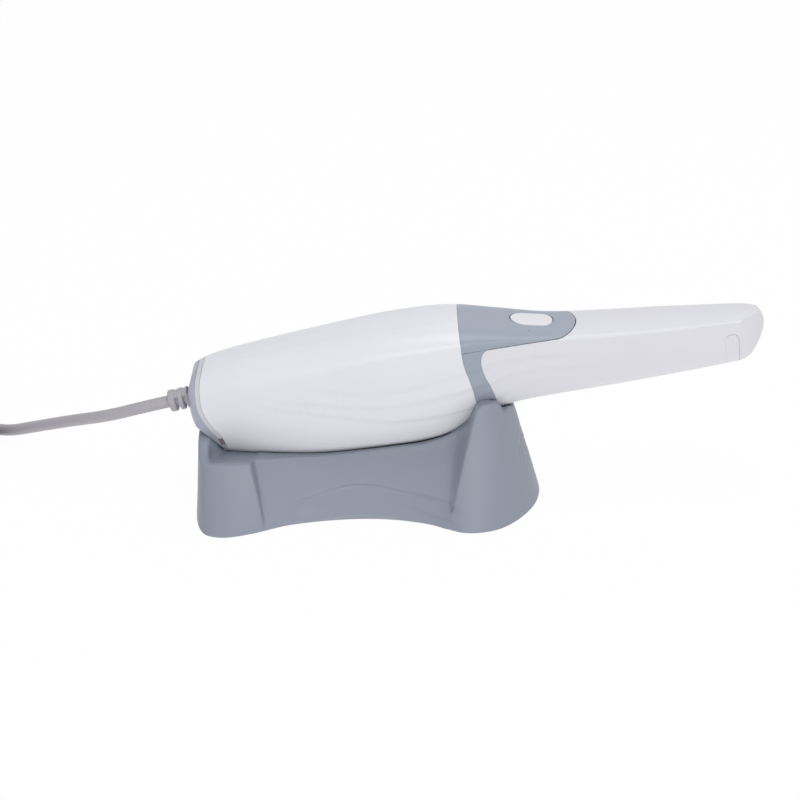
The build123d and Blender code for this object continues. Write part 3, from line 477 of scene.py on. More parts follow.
def cradle_body(inset, low, high):
    """Closed body of the cradle's outer form, moved inwards, between two levels."""
    loops = []
    for outline in CRADLE_OUTLINES:
        middle = (outline[0][0] + outline[-1][0]) / 2
        half = []
        for x, y in outline:
            reach = abs(x - middle)
            half.append((middle + (x - middle) * (reach - inset) / reach, max(y - inset, 0)))
        loops.append(half + [(x, -y) for x, y in half[-2:0:-1]])
    loops = np.array(loops)
    closed = np.concatenate([loops[:, -3:], loops, loops[:, :4]], axis=1)
    along = distances(closed[0])
    at = along[3] + (along[-4] - along[3]) * np.arange(280) / 280
    plans = np.array([[guide(zip(along, loop[:, k]), at) for k in (0, 1)] for loop in closed])
    levels = np.linspace(low, high, 60)
    z = levels / CRADLE_TOP
    shares = np.stack([2 * (z - 0.5) * (z - 1), 4 * z * (1 - z), 2 * z * (z - 0.5)], 1)
    return form(stacked(np.einsum("lk,kcp->lpc", shares, plans), levels), upright)


def waist_lines(levels, wall):
    """Plan of the cradle's side wall at each level, as rows of points, moved inwards by the wall."""
    lines = np.array(WAIST_LINES, float) - [0, wall]
    knots = np.array([[guide(zip(WAIST_LEVELS, lines[:, i, k]), levels) for k in (0, 1)]
                      for i in range(lines.shape[1])])
    knots[0, 0] -= wall
    knots[-1, 0] += wall
    share = np.linspace(0, 1, 60)
    rows = []
    for n in range(len(levels)):
        x = knots[:, 0, n]
        at = x[0] + (x[-1] - x[0]) * share
        rows.append(np.stack([at, guide(zip(x, knots[:, 1, n]), at)], 1))
    return np.array(rows)


def waist_room(wall, side):
    """Room beside the cradle's side wall, on one side."""
    levels = np.linspace(WAIST_LEVELS[0], WAIST_LEVELS[-1], 56)
    rows = waist_lines(levels, wall)
    far = np.full((len(levels), 1), 60.0)
    first, last = (np.stack([rows[:, k, :1], far], -1) for k in (0, -1))
    return form(stacked(np.concatenate([first, rows, last], axis=1) * [1, side], levels), upright)


def rim_prism(drop):
    """Everything below the cradle's rim, seen from the side, lowered by drop."""
    line = RIM_REAR + smooth(RIM_SIDE, 40) + RIM_FRONT
    line = [(x, z - drop) for x, z in line]
    return prism(line + [(90, -20), (-90, -20)], "side", -80, 80, upright)


def saddle_room(drop):
    """Room over the rear saddle: over its wall, down a ramp in the middle and over its dished shelf."""
    across = np.linspace(-SADDLE_HALF, SADDLE_HALF, 93)
    y = np.abs(across)
    wall, shelf = guide(WALL_TOP, y), guide(SHELF_TOP, y)
    run = (SHELF_REAR - WALL_INNER) * (1 - RAMP_STEEPER * eased((y - RAMP_HALF) / RAMP_FADE))
    rings = []
    for x in [-95.0, *np.linspace(WALL_INNER, SHELF_REAR, 17), SHELF_FRONT + drop]:
        share = eased((x - WALL_INNER) / run)
        low = [(x, a, b) for a, b in zip(across, wall + (shelf - wall) * share - drop)]
        rings.append(low + [(x, SADDLE_HALF, 60.0), (x, -SADDLE_HALF, 60.0)])
    return form(rings, upright)


def relief_below(along, height, line, run):
    """Depth of a soft ledge below a line, 1 just under it and 0 where the surface has come back."""
    below = guide(line, along) - height
    start, end = line[0][0], line[-1][0]
    fade = eased((end - along) / SOFT_FADES[1])
    if start:
        fade = eased((along - start) / SOFT_FADES[0]) * fade
    return eased((below + SOFT_LIP) / SOFT_STEP) * eased(1 - (below - SOFT_FOOT) / run) * fade


def ledged(obj):
    """The cradle with its wave ledges pressed into its side walls and its front."""
    mesh = obj.data
    p, normals = np.empty((2, len(mesh.vertices) * 3))
    mesh.vertices.foreach_get("co", p)
    mesh.vertices.foreach_get("normal", normals)
    p, normals = p.reshape(-1, 3) / MM, normals.reshape(-1, 3)
    side = np.max([relief_below(p[:, 0], p[:, 2], line, WALL_LEDGE_RUN) for line in WALL_LEDGES], axis=0)
    outward = np.abs(normals[:, 1]) > 0.5
    p[:, 1] -= np.sign(p[:, 1]) * side * WALL_LEDGE_DEPTH * outward
    away = np.abs(p[:, 1])
    front = np.max([relief_below(away, p[:, 2], line, FRONT_LEDGE_RUN) for line in FRONT_LEDGES], axis=0)
    p[:, 0] -= front * FRONT_LEDGE_DEPTH * (normals[:, 0] > 0.4) * (p[:, 0] > FRONT_LEDGE_START)
    mesh.vertices.foreach_set("co", (p * MM).ravel())
    mesh.update()
    return obj


def baked(name, obj):
    """A new object with the shape that the modifiers of the old one give; the old one goes."""
    graph = bpy.context.evaluated_depsgraph_get()
    mesh = bpy.data.meshes.new_from_object(obj.evaluated_get(graph))
    bpy.data.objects.remove(obj)
    mesh.name = name
    return linked(name, mesh)


def softened(name, obj, voxel, turns, keep):
    """The object as one skin of even facets with its edges rounded, thinned out to a share of them."""
    mesher = obj.modifiers.new("skin", "REMESH")
    mesher.mode = "VOXEL"
    mesher.voxel_size = voxel
    even = obj.modifiers.new("even", "SMOOTH")
    even.factor = 0.5
    even.iterations = turns
    fewer = obj.modifiers.new("fewer", "DECIMATE")
    fewer.ratio = keep
    return baked(name, obj)


def carved(name, base, steps):
    """A new object: base with each tool cut away, kept in common or joined on, in order."""
    for operation, tool in steps:
        modifier = base.modifiers.new("cut", "BOOLEAN")
        modifier.operation = operation
        modifier.solver = "MANIFOLD"
        modifier.object = tool
    bpy.context.view_layer.update()
    obj = baked(name, base)
    for _, tool in steps:
        bpy.data.objects.remove(tool)
    return obj


def finished(obj, body, material, slot, replaces, sharp=32.0):
    """Shading, material and place of a finished piece."""
    mesh = obj.data
    mesh.materials.clear()
    mesh.materials.append(material)
    mesh.polygons.foreach_set("use_smooth", [True] * len(mesh.polygons))
    mesh.set_sharp_from_angle(angle=math.radians(sharp))
    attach(obj, body)
    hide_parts(*replaces)


def preset(node, values):
    """The node with numbers and colours set in its inputs."""
    for label, value in values.items():
        node.inputs[label].default_value = value
    return node


def math_node(tree, operation, *inputs):
    """Output of a math node whose inputs are numbers or the outputs of other nodes."""
    node = tree.nodes.new("ShaderNodeMath")
    node.operation = operation
    for socket, value in zip(node.inputs, inputs):
        if isinstance(value, bpy.types.NodeSocket):
            tree.links.new(value, socket)
        else:
            socket.default_value = value
    return node.outputs[0]


def moulded_group():
    """Shared surface of moulded plastic: fine spark-eroded grain and slight clouding."""
    name = "moulded_surface"
    if name in bpy.data.node_groups:
        return bpy.data.node_groups[name]
    group = bpy.data.node_groups.new(name, "ShaderNodeTree")
    face = group.interface
    face.new_socket(name="Colour", in_out="INPUT", socket_type="NodeSocketColor")
    for label, default in (("Clouding", 0.03), ("Grain size", 0.0004), ("Roughness", 0.4),
                           ("Roughness spread", 0.05)):
        socket = face.new_socket(name=label, in_out="INPUT", socket_type="NodeSocketFloat")
        socket.default_value = default
    for label, kind in (("Colour", "Color"), ("Roughness", "Float"), ("Height", "Float")):
        face.new_socket(name=label, in_out="OUTPUT", socket_type="NodeSocket" + kind)
    nodes, links = group.nodes, group.links
    given = nodes.new("NodeGroupInput").outputs
    sink = nodes.new("NodeGroupOutput")
    place = nodes.new("ShaderNodeTexCoord")
    cloud = preset(nodes.new("ShaderNodeTexNoise"), {"Scale": 45, "Detail": 3})
    links.new(place.outputs["Object"], cloud.inputs["Vector"])
    grain = preset(nodes.new("ShaderNodeTexNoise"), {"Detail": 2})
    links.new(place.outputs["Object"], grain.inputs["Vector"])
    links.new(math_node(group, "DIVIDE", 1.0, given["Grain size"]), grain.inputs["Scale"])
    centred = math_node(group, "SUBTRACT", cloud.outputs["Fac"], 0.5)
    shaded = nodes.new("ShaderNodeVectorMath")
    shaded.operation = "SCALE"
    links.new(given["Colour"], shaded.inputs[0])
    links.new(math_node(group, "MULTIPLY_ADD", centred, given["Clouding"], 1.0), shaded.inputs["Scale"])
    links.new(shaded.outputs[0], sink.inputs["Colour"])
    rough = math_node(group, "MULTIPLY_ADD", centred, given["Roughness spread"], given["Roughness"])
    links.new(rough, sink.inputs["Roughness"])
    links.new(grain.outputs["Fac"], sink.inputs["Height"])
    return group


def new_material(name):
    """A material with its nodes."""
    material = bpy.data.materials.new(name)
    material.use_nodes = True
    return material


def look(name):
    """A finish made here, by its short name."""
    return bpy.data.materials["finish_" + name]


def plastic(name, colour, roughness=0.42, clouding=0.04, grain=0.00035, bump=0.05, coat=0.0, metallic=0.0):
    """Moulded plastic, rubber or metal with its own grain."""
    if "finish_" + name in bpy.data.materials:
        return look(name)
    material = new_material("finish_" + name)
    nodes, links = material.node_tree.nodes, material.node_tree.links
    shader = nodes["Principled BSDF"]
    surface = nodes.new("ShaderNodeGroup")
    surface.node_tree = moulded_group()
    preset(surface, {"Colour": (*colour, 1), "Clouding": clouding, "Grain size": grain,
                     "Roughness": roughness})
    links.new(surface.outputs["Colour"], shader.inputs["Base Color"])
    links.new(surface.outputs["Roughness"], shader.inputs["Roughness"])
    relief = preset(nodes.new("ShaderNodeBump"), {"Strength": bump, "Distance": 0.0001})
    links.new(surface.outputs["Height"], relief.inputs["Height"])
    links.new(relief.outputs["Normal"], shader.inputs["Normal"])
    preset(shader, {"Metallic": metallic, "Coat Weight": coat})
    return material


def clear(name, tint, roughness=0.02, ior=1.5):
    """Glass of the optics."""
    if "finish_" + name in bpy.data.materials:
        return look(name)
    material = new_material("finish_" + name)
    preset(material.node_tree.nodes["Principled BSDF"], {
        "Base Color": (*tint, 1), "Roughness": roughness, "IOR": ior, "Transmission Weight": 1.0})
    return material


class SCANNER_OT_stage(bpy.types.Operator):
    """Floor, light and the camera at the photograph's angle"""
    bl_idname = "scanner.stage"
    bl_label = "Stage and camera"

    def execute(self, context):
        scene = context.scene
        scene.view_settings.view_transform = "Standard"
        target = Vector((0.01385, 0, 0.0426))
        elevation = math.radians(27.0)
        away = Vector((0, -math.cos(elevation), math.sin(elevation)))
        lens = bpy.data.cameras.new("camera")
        lens.lens = 85
        lens.sensor_width = 36
        lens.clip_start = 0.05
        lens.clip_end = 50
        camera = linked("camera", lens)
        camera.location = target + away * 0.805
        camera.rotation_mode = "QUATERNION"
        camera.rotation_quaternion = (-away).to_track_quat("-Z", "Y")
        scene.camera = camera

        half = scene.scanner_sizes.floor_size / 2
        floor = new_object("floor", [(-half, -half, 0), (half, -half, 0), (half, half, 0), (-half, half, 0)],
                           [(0, 1, 2, 3)])
        floor.data.materials.append(self.backdrop())
        self.surroundings(scene)
        aim = Vector((0.02, 0, 0.05))
        for name, place, size, power in (
                ("key_light", (0.15, -0.2, 1.4), 0.9, 7.3), ("low_light", (0.1, -1.2, 0.06), 0.9, 6.0),
                ("fill_light", (0.5, -1.0, 0.5), 0.8, 0.9), ("back_light", (0.1, 0.9, 1.1), 0.9, 2.0)):
            lamp = bpy.data.lights.new(name, "AREA")
            lamp.shape = "DISK"
            lamp.size = size
            lamp.energy = power
            obj = linked(name, lamp)
            obj.location = place
            obj.rotation_mode = "QUATERNION"
            obj.rotation_quaternion = (aim - Vector(place)).to_track_quat("-Z", "Y")
        return {"FINISHED"}

    def seen_directly(self, tree):
        """1 on camera, glossy and transmission rays."""
        ray = tree.nodes.new("ShaderNodeLightPath").outputs
        seen = math_node(tree, "MAXIMUM", ray["Is Camera Ray"], ray["Is Glossy Ray"])
        return math_node(tree, "MAXIMUM", seen, ray["Is Transmission Ray"])

    def mixed(self, tree, share, first, second, kind):
        """Output of a tree that goes from one shader to another."""
        mix = tree.nodes.new("ShaderNodeMixShader")
        out = tree.nodes.new(kind)
        for k, socket in enumerate((share, first.outputs[0], second.outputs[0])):
            tree.links.new(socket, mix.inputs[k])
        tree.links.new(mix.outputs[0], out.inputs[0])

    def backdrop(self):
        """White floor that keeps a faint shadow."""
        material = new_material("backdrop")
        tree = material.node_tree
        tree.nodes.clear()
        matt = preset(tree.nodes.new("ShaderNodeBsdfDiffuse"), {"Color": (0.9, 0.9, 0.9, 1)})
        bright = preset(tree.nodes.new("ShaderNodeEmission"), {"Color": (1, 1, 1, 1), "Strength": 1.0})
        share = math_node(tree, "MULTIPLY_ADD", self.seen_directly(tree), 0.12, 0.85)
        self.mixed(tree, share, matt, bright, "ShaderNodeOutputMaterial")
        return material

    def surroundings(self, scene):
        """Even light from all round, seen as white."""
        world = bpy.data.worlds.new("surroundings")
        scene.world = world
        world.use_nodes = True
        tree = world.node_tree
        tree.nodes.clear()
        light = preset(tree.nodes.new("ShaderNodeBackground"), {
            "Color": (0.95, 0.97, 1.0, 1), "Strength": 0.52})
        seen = preset(tree.nodes.new("ShaderNodeBackground"), {"Color": (1, 1, 1, 1)})
        self.mixed(tree, self.seen_directly(tree), light, seen, "ShaderNodeOutputWorld")


class SCANNER_OT_cable(bpy.types.Operator):
    """Cable from the boot over the table into its coil, and on to the plug"""
    bl_idname = "scanner.cable"
    bl_label = "Cable"

    boot_end = Vector((-84.25, 0, 42.09))
    route = [(-112.0, 6.0, 31.9), (-131.0, 19.0, 22.7), (-149.0, 32.0, 13.1), (-166.0, 44.5, 3.8),
             (-179.0, 53.0, 2.8)]
    tail = [(-251.9, 35.0, 7.8), (-255.6, 22.0, 7.2), (-256.0, 8.0, 6.2), (-252.5, -9.0, 4.5),
            (-246.5, -20.0, 4.3), (-240.0, -30.0, 4.3)]
    centre = (-213.0, 30.0)
    entry_angle = 55.0
    outer_radius = 39.0
    pitch = 5.2
    turned_in = (300, 660, 1020)
    climb = 1310
    turned_out = (1630, 1990, 2350)
    whole_turn = 2625.0
    low_level = 2.7
    level_rise = 5.25

    def coil(self):
        """Points of the wound turns: inwards on the table, up, and outwards on top."""
        points = []
        step = 15.0
        travel = 0.0
        while travel <= self.whole_turn:
            radius = self.outer_radius
            for start in self.turned_in:
                radius -= self.pitch * eased((travel - start) / 30)
            for start in self.turned_out:
                radius += self.pitch * eased((travel - start) / 35)
            level = self.low_level + self.level_rise * eased((travel - self.climb) / 45)
            angle = math.radians(self.entry_angle + travel)
            reach = radius / math.cos(math.radians(step / 2))
            x, y = self.centre
            points.append((x + reach * math.cos(angle), y + reach * math.sin(angle), level))
            travel += step
        return points

    def execute(self, context):
        sizes = context.scene.scanner_sizes
        start = [tuple(self.boot_end), tuple(self.boot_end + BOOT_WAY * 12.0)]
        points = start + self.route + self.coil() + self.tail
        curve = bpy.data.curves.new("scanner_cable", "CURVE")
        curve.dimensions = "3D"
        spline = curve.splines.new("NURBS")
        spline.points.add(len(points) - 1)
        for point, (x, y, z) in zip(spline.points, points):
            point.co = (x * MM, y * MM, z * MM, 1)
        spline.order_u = 3
        spline.use_endpoint_u = True
        spline.resolution_u = 6
        curve.bevel_depth = sizes.cable_diameter / 2
        curve.bevel_resolution = 6
        curve.use_fill_caps = True
        cable = linked("scanner_cable", curve)
        curve.materials.append(plastic("cable_jacket", context.scene.scanner_colours.cable, roughness=0.5,
                                       clouding=0.06, grain=0.0005, bump=0.08))
        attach(cable, "base")
        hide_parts("cable", "cable_coil", "cable_tail")
        return {"FINISHED"}


class SCANNER_OT_finishes(bpy.types.Operator):
    """Finishes of the pieces that keep their own shape"""
    bl_idname = "scanner.finishes"
    bl_label = "Finishes"

    def execute(self, context):
        colours = context.scene.scanner_colours
        glass = clear("optic_glass", (0.96, 0.98, 1.0))
        steel = plastic("screw_steel", (0.6, 0.6, 0.62), roughness=0.3, metallic=1.0, grain=0.0002)
        dark = plastic("dark_moulding", (0.03, 0.031, 0.034), roughness=0.5)
        alloy = plastic("machined_alloy", (0.72, 0.73, 0.75), roughness=0.32, metallic=1.0, grain=0.00015,
                        bump=0.08)
        white = plastic("shell_white", colours.body, roughness=0.38)
        black_alloy = plastic("black_alloy", (0.03, 0.03, 0.033), roughness=0.4, metallic=0.6)
        looks = {
            "rear_ring": plastic("ring_white", colours.ring),
            "ring_contact_patch": plastic("contact_brown", (0.22, 0.18, 0.16), roughness=0.35),
            "ring_light_patch": plastic("inlay_pale", (0.5, 0.49, 0.51), roughness=0.3, coat=0.4),
            "rear_cap": plastic("cap_grey", colours.cap, roughness=0.34),
            "status_light": plastic("light_pipe", (0.2, 0.215, 0.25), roughness=0.15, coat=0.6),
            "mirror_holder": plastic("holder_grey", (0.62, 0.62, 0.65), roughness=0.35),
            "tip_mirror": plastic("mirror_silver", (0.92, 0.92, 0.93), roughness=0.03, metallic=1.0, bump=0),
            "nose_tube": plastic("nose_black", (0.025, 0.025, 0.028), roughness=0.45),
            "nose_window": glass, "rear_lens": glass, "front_lens": glass, "beam_splitter": glass,
            "lens_barrel": black_alloy, "optical_chassis": alloy, "heat_spreader": alloy,
            "chassis_screws": steel, "base_screws": steel,
            "projector_module": dark, "camera_module": dark, "button_switch": dark, "cable_clamp": dark,
            "main_board": plastic("solder_mask", (0.02, 0.10, 0.05), roughness=0.3, coat=0.4, clouding=0.3),
            "board_chips": plastic("chip_black", (0.03, 0.03, 0.03), roughness=0.5),
            "tip_spring": plastic("spring_steel", (0.6, 0.6, 0.61), roughness=0.25, metallic=1.0),
            "cable_boot": plastic("boot_rubber", colours.cable, roughness=0.55, bump=0.1),
            "cable_tie": plastic("strap_black", (0.02, 0.02, 0.022), roughness=0.85, grain=0.0008, bump=0.5),
            "usb_plug": plastic("plug_grip", (0.10, 0.10, 0.11), roughness=0.45, grain=0.0006, bump=0.15),
            "usb_shell": plastic("plug_steel", (0.68, 0.68, 0.7), roughness=0.28, metallic=1.0),
            "usb_tongue": plastic("plug_tongue", (0.03, 0.10, 0.4), roughness=0.4),
            "cradle_shell": plastic("cradle_grey", colours.cradle, roughness=0.45),
            "cradle_base": plastic("base_grey", (0.08, 0.083, 0.09), roughness=0.5),
            "ballast_weight": plastic("ballast_iron", (0.06, 0.06, 0.065), roughness=0.6, metallic=0.7,
                                      grain=0.001, bump=0.4),
            "rubber_sole": plastic("sole_rubber", (0.03, 0.03, 0.033), roughness=0.8, grain=0.0007,
                                   bump=0.3),
            "main_housing": white, "spine_cover": white,
            "upper_cover": plastic("cover_grey", colours.cover, roughness=0.4),
            "grip_collar": plastic("band_grey", colours.band, roughness=0.4),
            "scan_button": plastic("button_white", colours.button, roughness=0.4),
            "tip_sleeve": plastic("tip_white", colours.tip, roughness=0.36),
        }
        for name, material in looks.items():
            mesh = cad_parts[name].data
            if mesh.materials:
                for k in range(len(mesh.materials)):
                    mesh.materials[k] = material
            else:
                mesh.materials.append(material)
        return {"FINISHED"}


class SCANNER_OT_housing(bpy.types.Operator):
    """White housing and the strip along its crown"""
    bl_idname = "scanner.housing"
    bl_label = "Housing"

    def execute(self, context):
        gap = STRIP_HALF + SEAM_GAP / 2
        for name, form_step, waved, last, node in (
                ("housing_shell", 0.8, True, (CUT, slab(-20, 140, -gap, gap, 5, 60)), "main_housing"),
                ("crown_strip", 1.0, False, (KEEP, slab(-10, 140, -STRIP_HALF, STRIP_HALF, 5, 60)),
                 "spine_cover")):
            piece = carved(name, hull(0, -4, 126, form_step, 240, waved), [
                (CUT, hull(BODY_WALL, -6, 128, 3.0, 96)),
                (KEEP, ahead(RING_PROFILE, SEAM_GAP)),
                (KEEP, behind(BAND_PROFILE, -SEAM_GAP)), last])
            finished(piece, "base", look("shell_white"), "white_shell", [node])
        return {"FINISHED"}


class SCANNER_OT_rear(bpy.types.Operator):
    """White ring with its two inlays, the domed cap and the ribbed boot"""
    bl_idname = "scanner.rear"
    bl_label = "Rear end"

    exit_point = Vector((-76.2, 0, 44.1))
    hole_radius = 3.55
    inlays = (("ring_contact_patch", "contact_inlay", -15.3, -11.4, "contact_brown"),
              ("ring_light_patch", "light_inlay", -18.8, -15.5, "inlay_pale"))

    def execute(self, context):
        hollow = carved("cap_hollow", hull(CAP_WALL, -6, 40, 1.0, 96), rear_end(CAP_WALL))
        ends = [tuple(self.exit_point + BOOT_WAY * reach) for reach in (-15, 15)]
        hole = rod(self.hole_radius, *ends, 48, upright)
        cap = carved("cap_solid", hull(0, -4, 36, 0.5, 240), [
            *rear_end(0.0), (KEEP, behind(RING_PROFILE, -RING_WIDTH))])
        cap = carved("rear_dome", softened("cap_skin", cap, 0.00025, 5, 0.3), [
            (CUT, hollow), (CUT, hole)])
        finished(cap, "base", look("cap_grey"), "grey_cap", ["rear_cap"], sharp=50)
        ring = carved("rear_band", self.band(), [
            (CUT, self.seat(low, high)) for _, _, low, high, _ in self.inlays])
        finished(ring, "base", look("ring_white"), "white_ring", ["rear_ring"])
        for node, name, low, high, finish in self.inlays:
            inlay = carved(name, self.band(), [(KEEP, self.seat(low, high))])
            finished(inlay, "base", look(finish), finish, [node])
        self.boot()
        return {"FINISHED"}

    def band(self):
        """The ring before its inlays are let in."""
        return carved("ring_solid", hull(0, -4, 36, 0.5, 240), [
            (CUT, hull(RING_WALL, -6, 40, 1.0, 96)),
            (KEEP, behind(RING_PROFILE)), (KEEP, ahead(RING_PROFILE, -RING_WIDTH))])

    def seat(self, low, high):
        """Room of an inlay in the near side of the ring."""
        return carved("seat", slab(0, 30, -30, 0, low, high), [(CUT, hull(1.0, -6, 40, 1.0, 96))])

    def boot(self):
        """Ribbed strain relief: rounded ribs, narrow open slots and a web that joins them on top."""
        along = np.concatenate([[-9.0, -0.6], np.linspace(-0.4, BOOT_END, 130), [BOOT_END]])
        around = np.arange(72) * math.tau / 72
        rib = np.full_like(along, BOOT_CORE)
        for low, high in BOOT_RIBS:
            middle, half = (low + high) / 2, (high - low) / 2
            away = np.abs(along - middle)
            arch = BOOT_RIB_FOOT + BOOT_RIB_RISE * (1 - np.clip(away / half, 0, 1) ** 6) ** 0.4
            rib = np.maximum(rib, np.where(away < half, arch, 0))
        web = eased((np.cos(around) - 0.45) / 0.2)
        joined = np.where((along > -0.5) & (along < BOOT_END), BOOT_WEB, BOOT_CORE)
        radius = np.maximum(rib[:, None], BOOT_CORE + (joined[:, None] - BOOT_CORE) * web[None, :])
        radius[-1] = BOOT_MOUTH
        across = BOOT_WAY.cross(BOOT_UP)
        rings = []
        for z, row in zip(along, radius):
            base = self.exit_point + BOOT_WAY * float(z)
            rings.append([tuple(base + (BOOT_UP * math.cos(a) + across * math.sin(a)) * float(r))
                          for a, r in zip(around, row)])
        boot = form(rings, upright, "ribbed_boot")
        finished(boot, "base", look("boot_rubber"), "boot_grey", ["cable_boot"], sharp=45)


class SCANNER_OT_grip(bpy.types.Operator):
    """Grey cover with its tongue, the band round the body and the scan button"""
    bl_idname = "scanner.grip"
    bl_label = "Cover, band and button"

    proud = 0.35
    edge = 0.75
    skirt = 1.2
    stem_radius = 1.8
    light_radius = 0.55

    def execute(self, context):
        above, plan = tongue_prisms(0.0)
        cover = carved("tongue_cover", hull(0, 112, 172, 0.6, 240, True), [
            (CUT, hull(COVER_WALL, 110, 174, 2.0, 96)),
            (KEEP, ahead(BAND_PROFILE)),
            (KEEP, above), (KEEP, plan),
            (CUT, prism(button_outline(0.35), "plan", 5, 45)),
            (CUT, rod(self.light_radius, (148, -10, 5), (148, -10, 30)))])
        finished(cover, "base", look("cover_grey"), "grey_cover", ["upper_cover"])
        above, plan = tongue_prisms(SEAM_GAP)
        band = carved("grip_band", hull(0, 112, 136, 0.6, 240, True), [
            (CUT, hull(COVER_WALL, 110, 138, 2.0, 96)),
            (KEEP, ahead(BAND_PROFILE)),
            (KEEP, behind(TIP_REAR_PROFILE)),
            (CUT, above)])
        bpy.data.objects.remove(plan)
        finished(band, "base", look("band_grey"), "grey_collar", ["grip_collar"])
        self.button()
        return {"FINISHED"}

    def button(self):
        """Long button that follows the cover, with a rolled edge, on its round plunger."""
        outline = np.array(button_outline(0.0))
        centre = np.array([150.0, 0.0])
        inwards = (centre - outline) / np.linalg.norm(centre - outline, axis=1)[:, None]
        rows = [(outline, -self.skirt)]
        for angle in np.linspace(0.0, 1.0, 9) * math.pi / 2:
            rows.append((outline + inwards * (self.edge * (1 - math.cos(angle))),
                         self.proud - self.edge * (1 - math.sin(angle))))
        rim = rows[-1][0]
        rows += [(rim + (centre - rim) * share, self.proud) for share in (0.25, 0.5, 0.75, 0.95)]
        rings = [np.column_stack([plan, self.crown(plan) + rise]) for plan, rise in rows]
        cap = form(rings, name="button_cap")
        stem = rod(self.stem_radius, (151.0, 0, 12.0), (151.0, 0, 17.5))
        whole = carved("button_shape", cap, [(JOIN, stem)])
        finished(whole, "button", look("button_white"), "button_white", ["scan_button"], sharp=40)

    def crown(self, plan):
        """Height of the cover's outside over points of the plan."""
        t = np.linspace(0.25, 0.75, 201)
        heights = []
        for along, across in plan:
            section = hull_points(np.full_like(t, along), t, 0.0)
            order = np.argsort(section[:, 1])
            heights.append(np.interp(across, section[order, 1], section[order, 2]))
        return np.array(heights)


class SCANNER_OT_tip(bpy.types.Operator):
    """White removable tip with its window"""
    bl_idname = "scanner.tip"
    bl_label = "Tip"

    def execute(self, context):
        body = carved("tip_body", hull(0, 120, 250, 0.8, 240, True), [
            *tip_end(0.0), (KEEP, ahead(TIP_REAR_PROFILE, SEAM_GAP))])
        above, plan = tongue_prisms(SLIDE_GAP)
        room = carved("tongue_room", above, [(KEEP, plan)])
        tip = carved("tip_shell", body, [
            (CUT, room),
            (CUT, self.hollow()),
            (CUT, self.cheek_seam()),
            (CUT, self.window())])
        finished(tip, "tip", look("tip_white"), "tip_white", ["tip_sleeve"])
        return {"FINISHED"}

    def hollow(self):
        """Room inside the tip, closed in front by its end wall."""
        return carved("tip_hollow", hull(TIP_WALL, 110, 246, 2.0, 96), tip_end(TIP_WALL))

    def cheek_seam(self):
        """Fine seam round the glazed cheek in each flank, beside the window."""
        outline = [(228.0, -20.0), (228.0, 1.8), (228.5, 3.3), (229.7, 4.3), (231.9, 4.3), (233.1, 3.3),
                   (233.6, 1.8), (233.6, -20.0)]
        middle = 230.8
        outer, inner = ([(u + math.copysign(half, (u - middle) * half), w + half) for u, w in outline]
                        for half in (0.14, -0.14))
        return carved("seam", prism(outer, "side", -20, 20), [
            (CUT, prism(inner, "side", -21, 21)),
            (CUT, hull(0.35, 200, 250, 1.0, 160))])

    def window(self):
        """Opening in the underside, with rounded corners."""
        rear, front, half, radius = 215, 232.5, 4.8, 2.2
        outline = []
        for u, v, start in ((front - radius, half - radius, 0), (rear + radius, half - radius, 90),
                            (rear + radius, -half + radius, 180), (front - radius, -half + radius, 270)):
            for k in range(7):
                a = math.radians(start + 15 * k)
                outline.append((u + radius * math.cos(a), v + radius * math.sin(a)))
        return prism(outline, "plan", -30, -4)


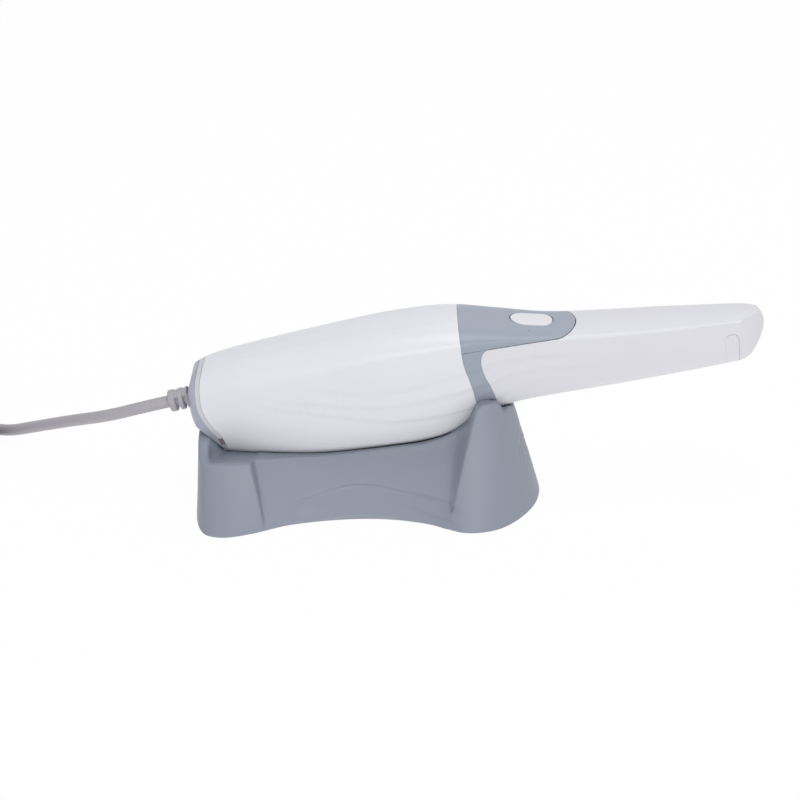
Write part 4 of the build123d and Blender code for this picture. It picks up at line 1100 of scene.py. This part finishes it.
class SCANNER_OT_cradle(bpy.types.Operator):
    """Moulded cradle with its two saddles, side walls and soft edges"""
    bl_idname = "scanner.cradle"
    bl_label = "Cradle"

    def execute(self, context):
        rooms = [(CUT, carved("seat_room", self.room(SEAT_GAP), rear_end(-SEAT_GAP)))]
        for rear, front, gap in ((-47.5, 36, SPAN_GAP), (51, 100, TROUGH_GAP)):
            span = slab(rear, front, -60, 60, 0, 100, upright)
            rooms.append((CUT, carved("room", self.room(gap), [(KEEP, span)])))
        solid = carved("cradle_solid", cradle_body(0.0, -3, CRADLE_TOP), [
            (KEEP, rim_prism(0.0)),
            (CUT, saddle_room(0.0)),
            *rooms, *self.waists(0.0)])
        skin = ledged(softened("cradle_skin", solid, 0.0006, 8, 0.5))
        cavity = carved("cavity", cradle_body(CRADLE_WALL, -5, CRADLE_TOP), [
            (KEEP, rim_prism(CRADLE_WALL + 0.6)),
            (CUT, saddle_room(CRADLE_WALL)),
            (CUT, self.room(SPAN_GAP + CRADLE_WALL)), *self.waists(CRADLE_WALL)])
        below = slab(-90, 90, -70, 70, -9, SOLE_REVEAL, upright)
        cradle = carved("cradle_moulding", skin, [(CUT, cavity), (CUT, below)])
        finished(cradle, "base", look("cradle_grey"), "cradle_grey", ["cradle_shell"], sharp=50)
        return {"FINISHED"}

    def room(self, gap):
        """Room of the handpiece with a gap all round."""
        return hull(-gap, -8, 250, 1.5, 160)

    def waists(self, wall):
        """Cuts beside the two side walls."""
        return [(CUT, waist_room(wall, side)) for side in (1, -1)]


class SCANNER_PT_panel(bpy.types.Panel):
    """Steps that build the scanner, in order"""
    bl_idname = "SCANNER_PT_panel"
    bl_label = "Scanner"
    bl_space_type = "VIEW_3D"
    bl_region_type = "UI"
    bl_category = "Scanner"

    def draw(self, context):
        for step in STEPS:
            self.layout.operator(step)
        for name in ScannerColours.__annotations__:
            self.layout.prop(context.scene.scanner_colours, name)
        for name in ScannerSizes.__annotations__:
            self.layout.prop(context.scene.scanner_sizes, name)


CLASSES = (ScannerColours, ScannerSizes, SCANNER_OT_stage, SCANNER_OT_cable, SCANNER_OT_finishes,
           SCANNER_OT_housing, SCANNER_OT_rear, SCANNER_OT_grip, SCANNER_OT_tip, SCANNER_OT_cradle,
           SCANNER_PT_panel)
STEPS = ("scanner.stage", "scanner.cable", "scanner.finishes", "scanner.housing", "scanner.rear",
         "scanner.grip", "scanner.tip", "scanner.cradle")


def register():
    for item in CLASSES:
        bpy.utils.register_class(item)
    bpy.types.Scene.scanner_colours = bpy.props.PointerProperty(type=ScannerColours)
    bpy.types.Scene.scanner_sizes = bpy.props.PointerProperty(type=ScannerSizes)


def unregister():
    del bpy.types.Scene.scanner_sizes
    del bpy.types.Scene.scanner_colours
    for item in reversed(CLASSES):
        bpy.utils.unregister_class(item)


def main():
    register()
    for step in STEPS:
        group, name = step.split(".")
        getattr(getattr(bpy.ops, group), name)()


if __name__ == "__main__":
    main()
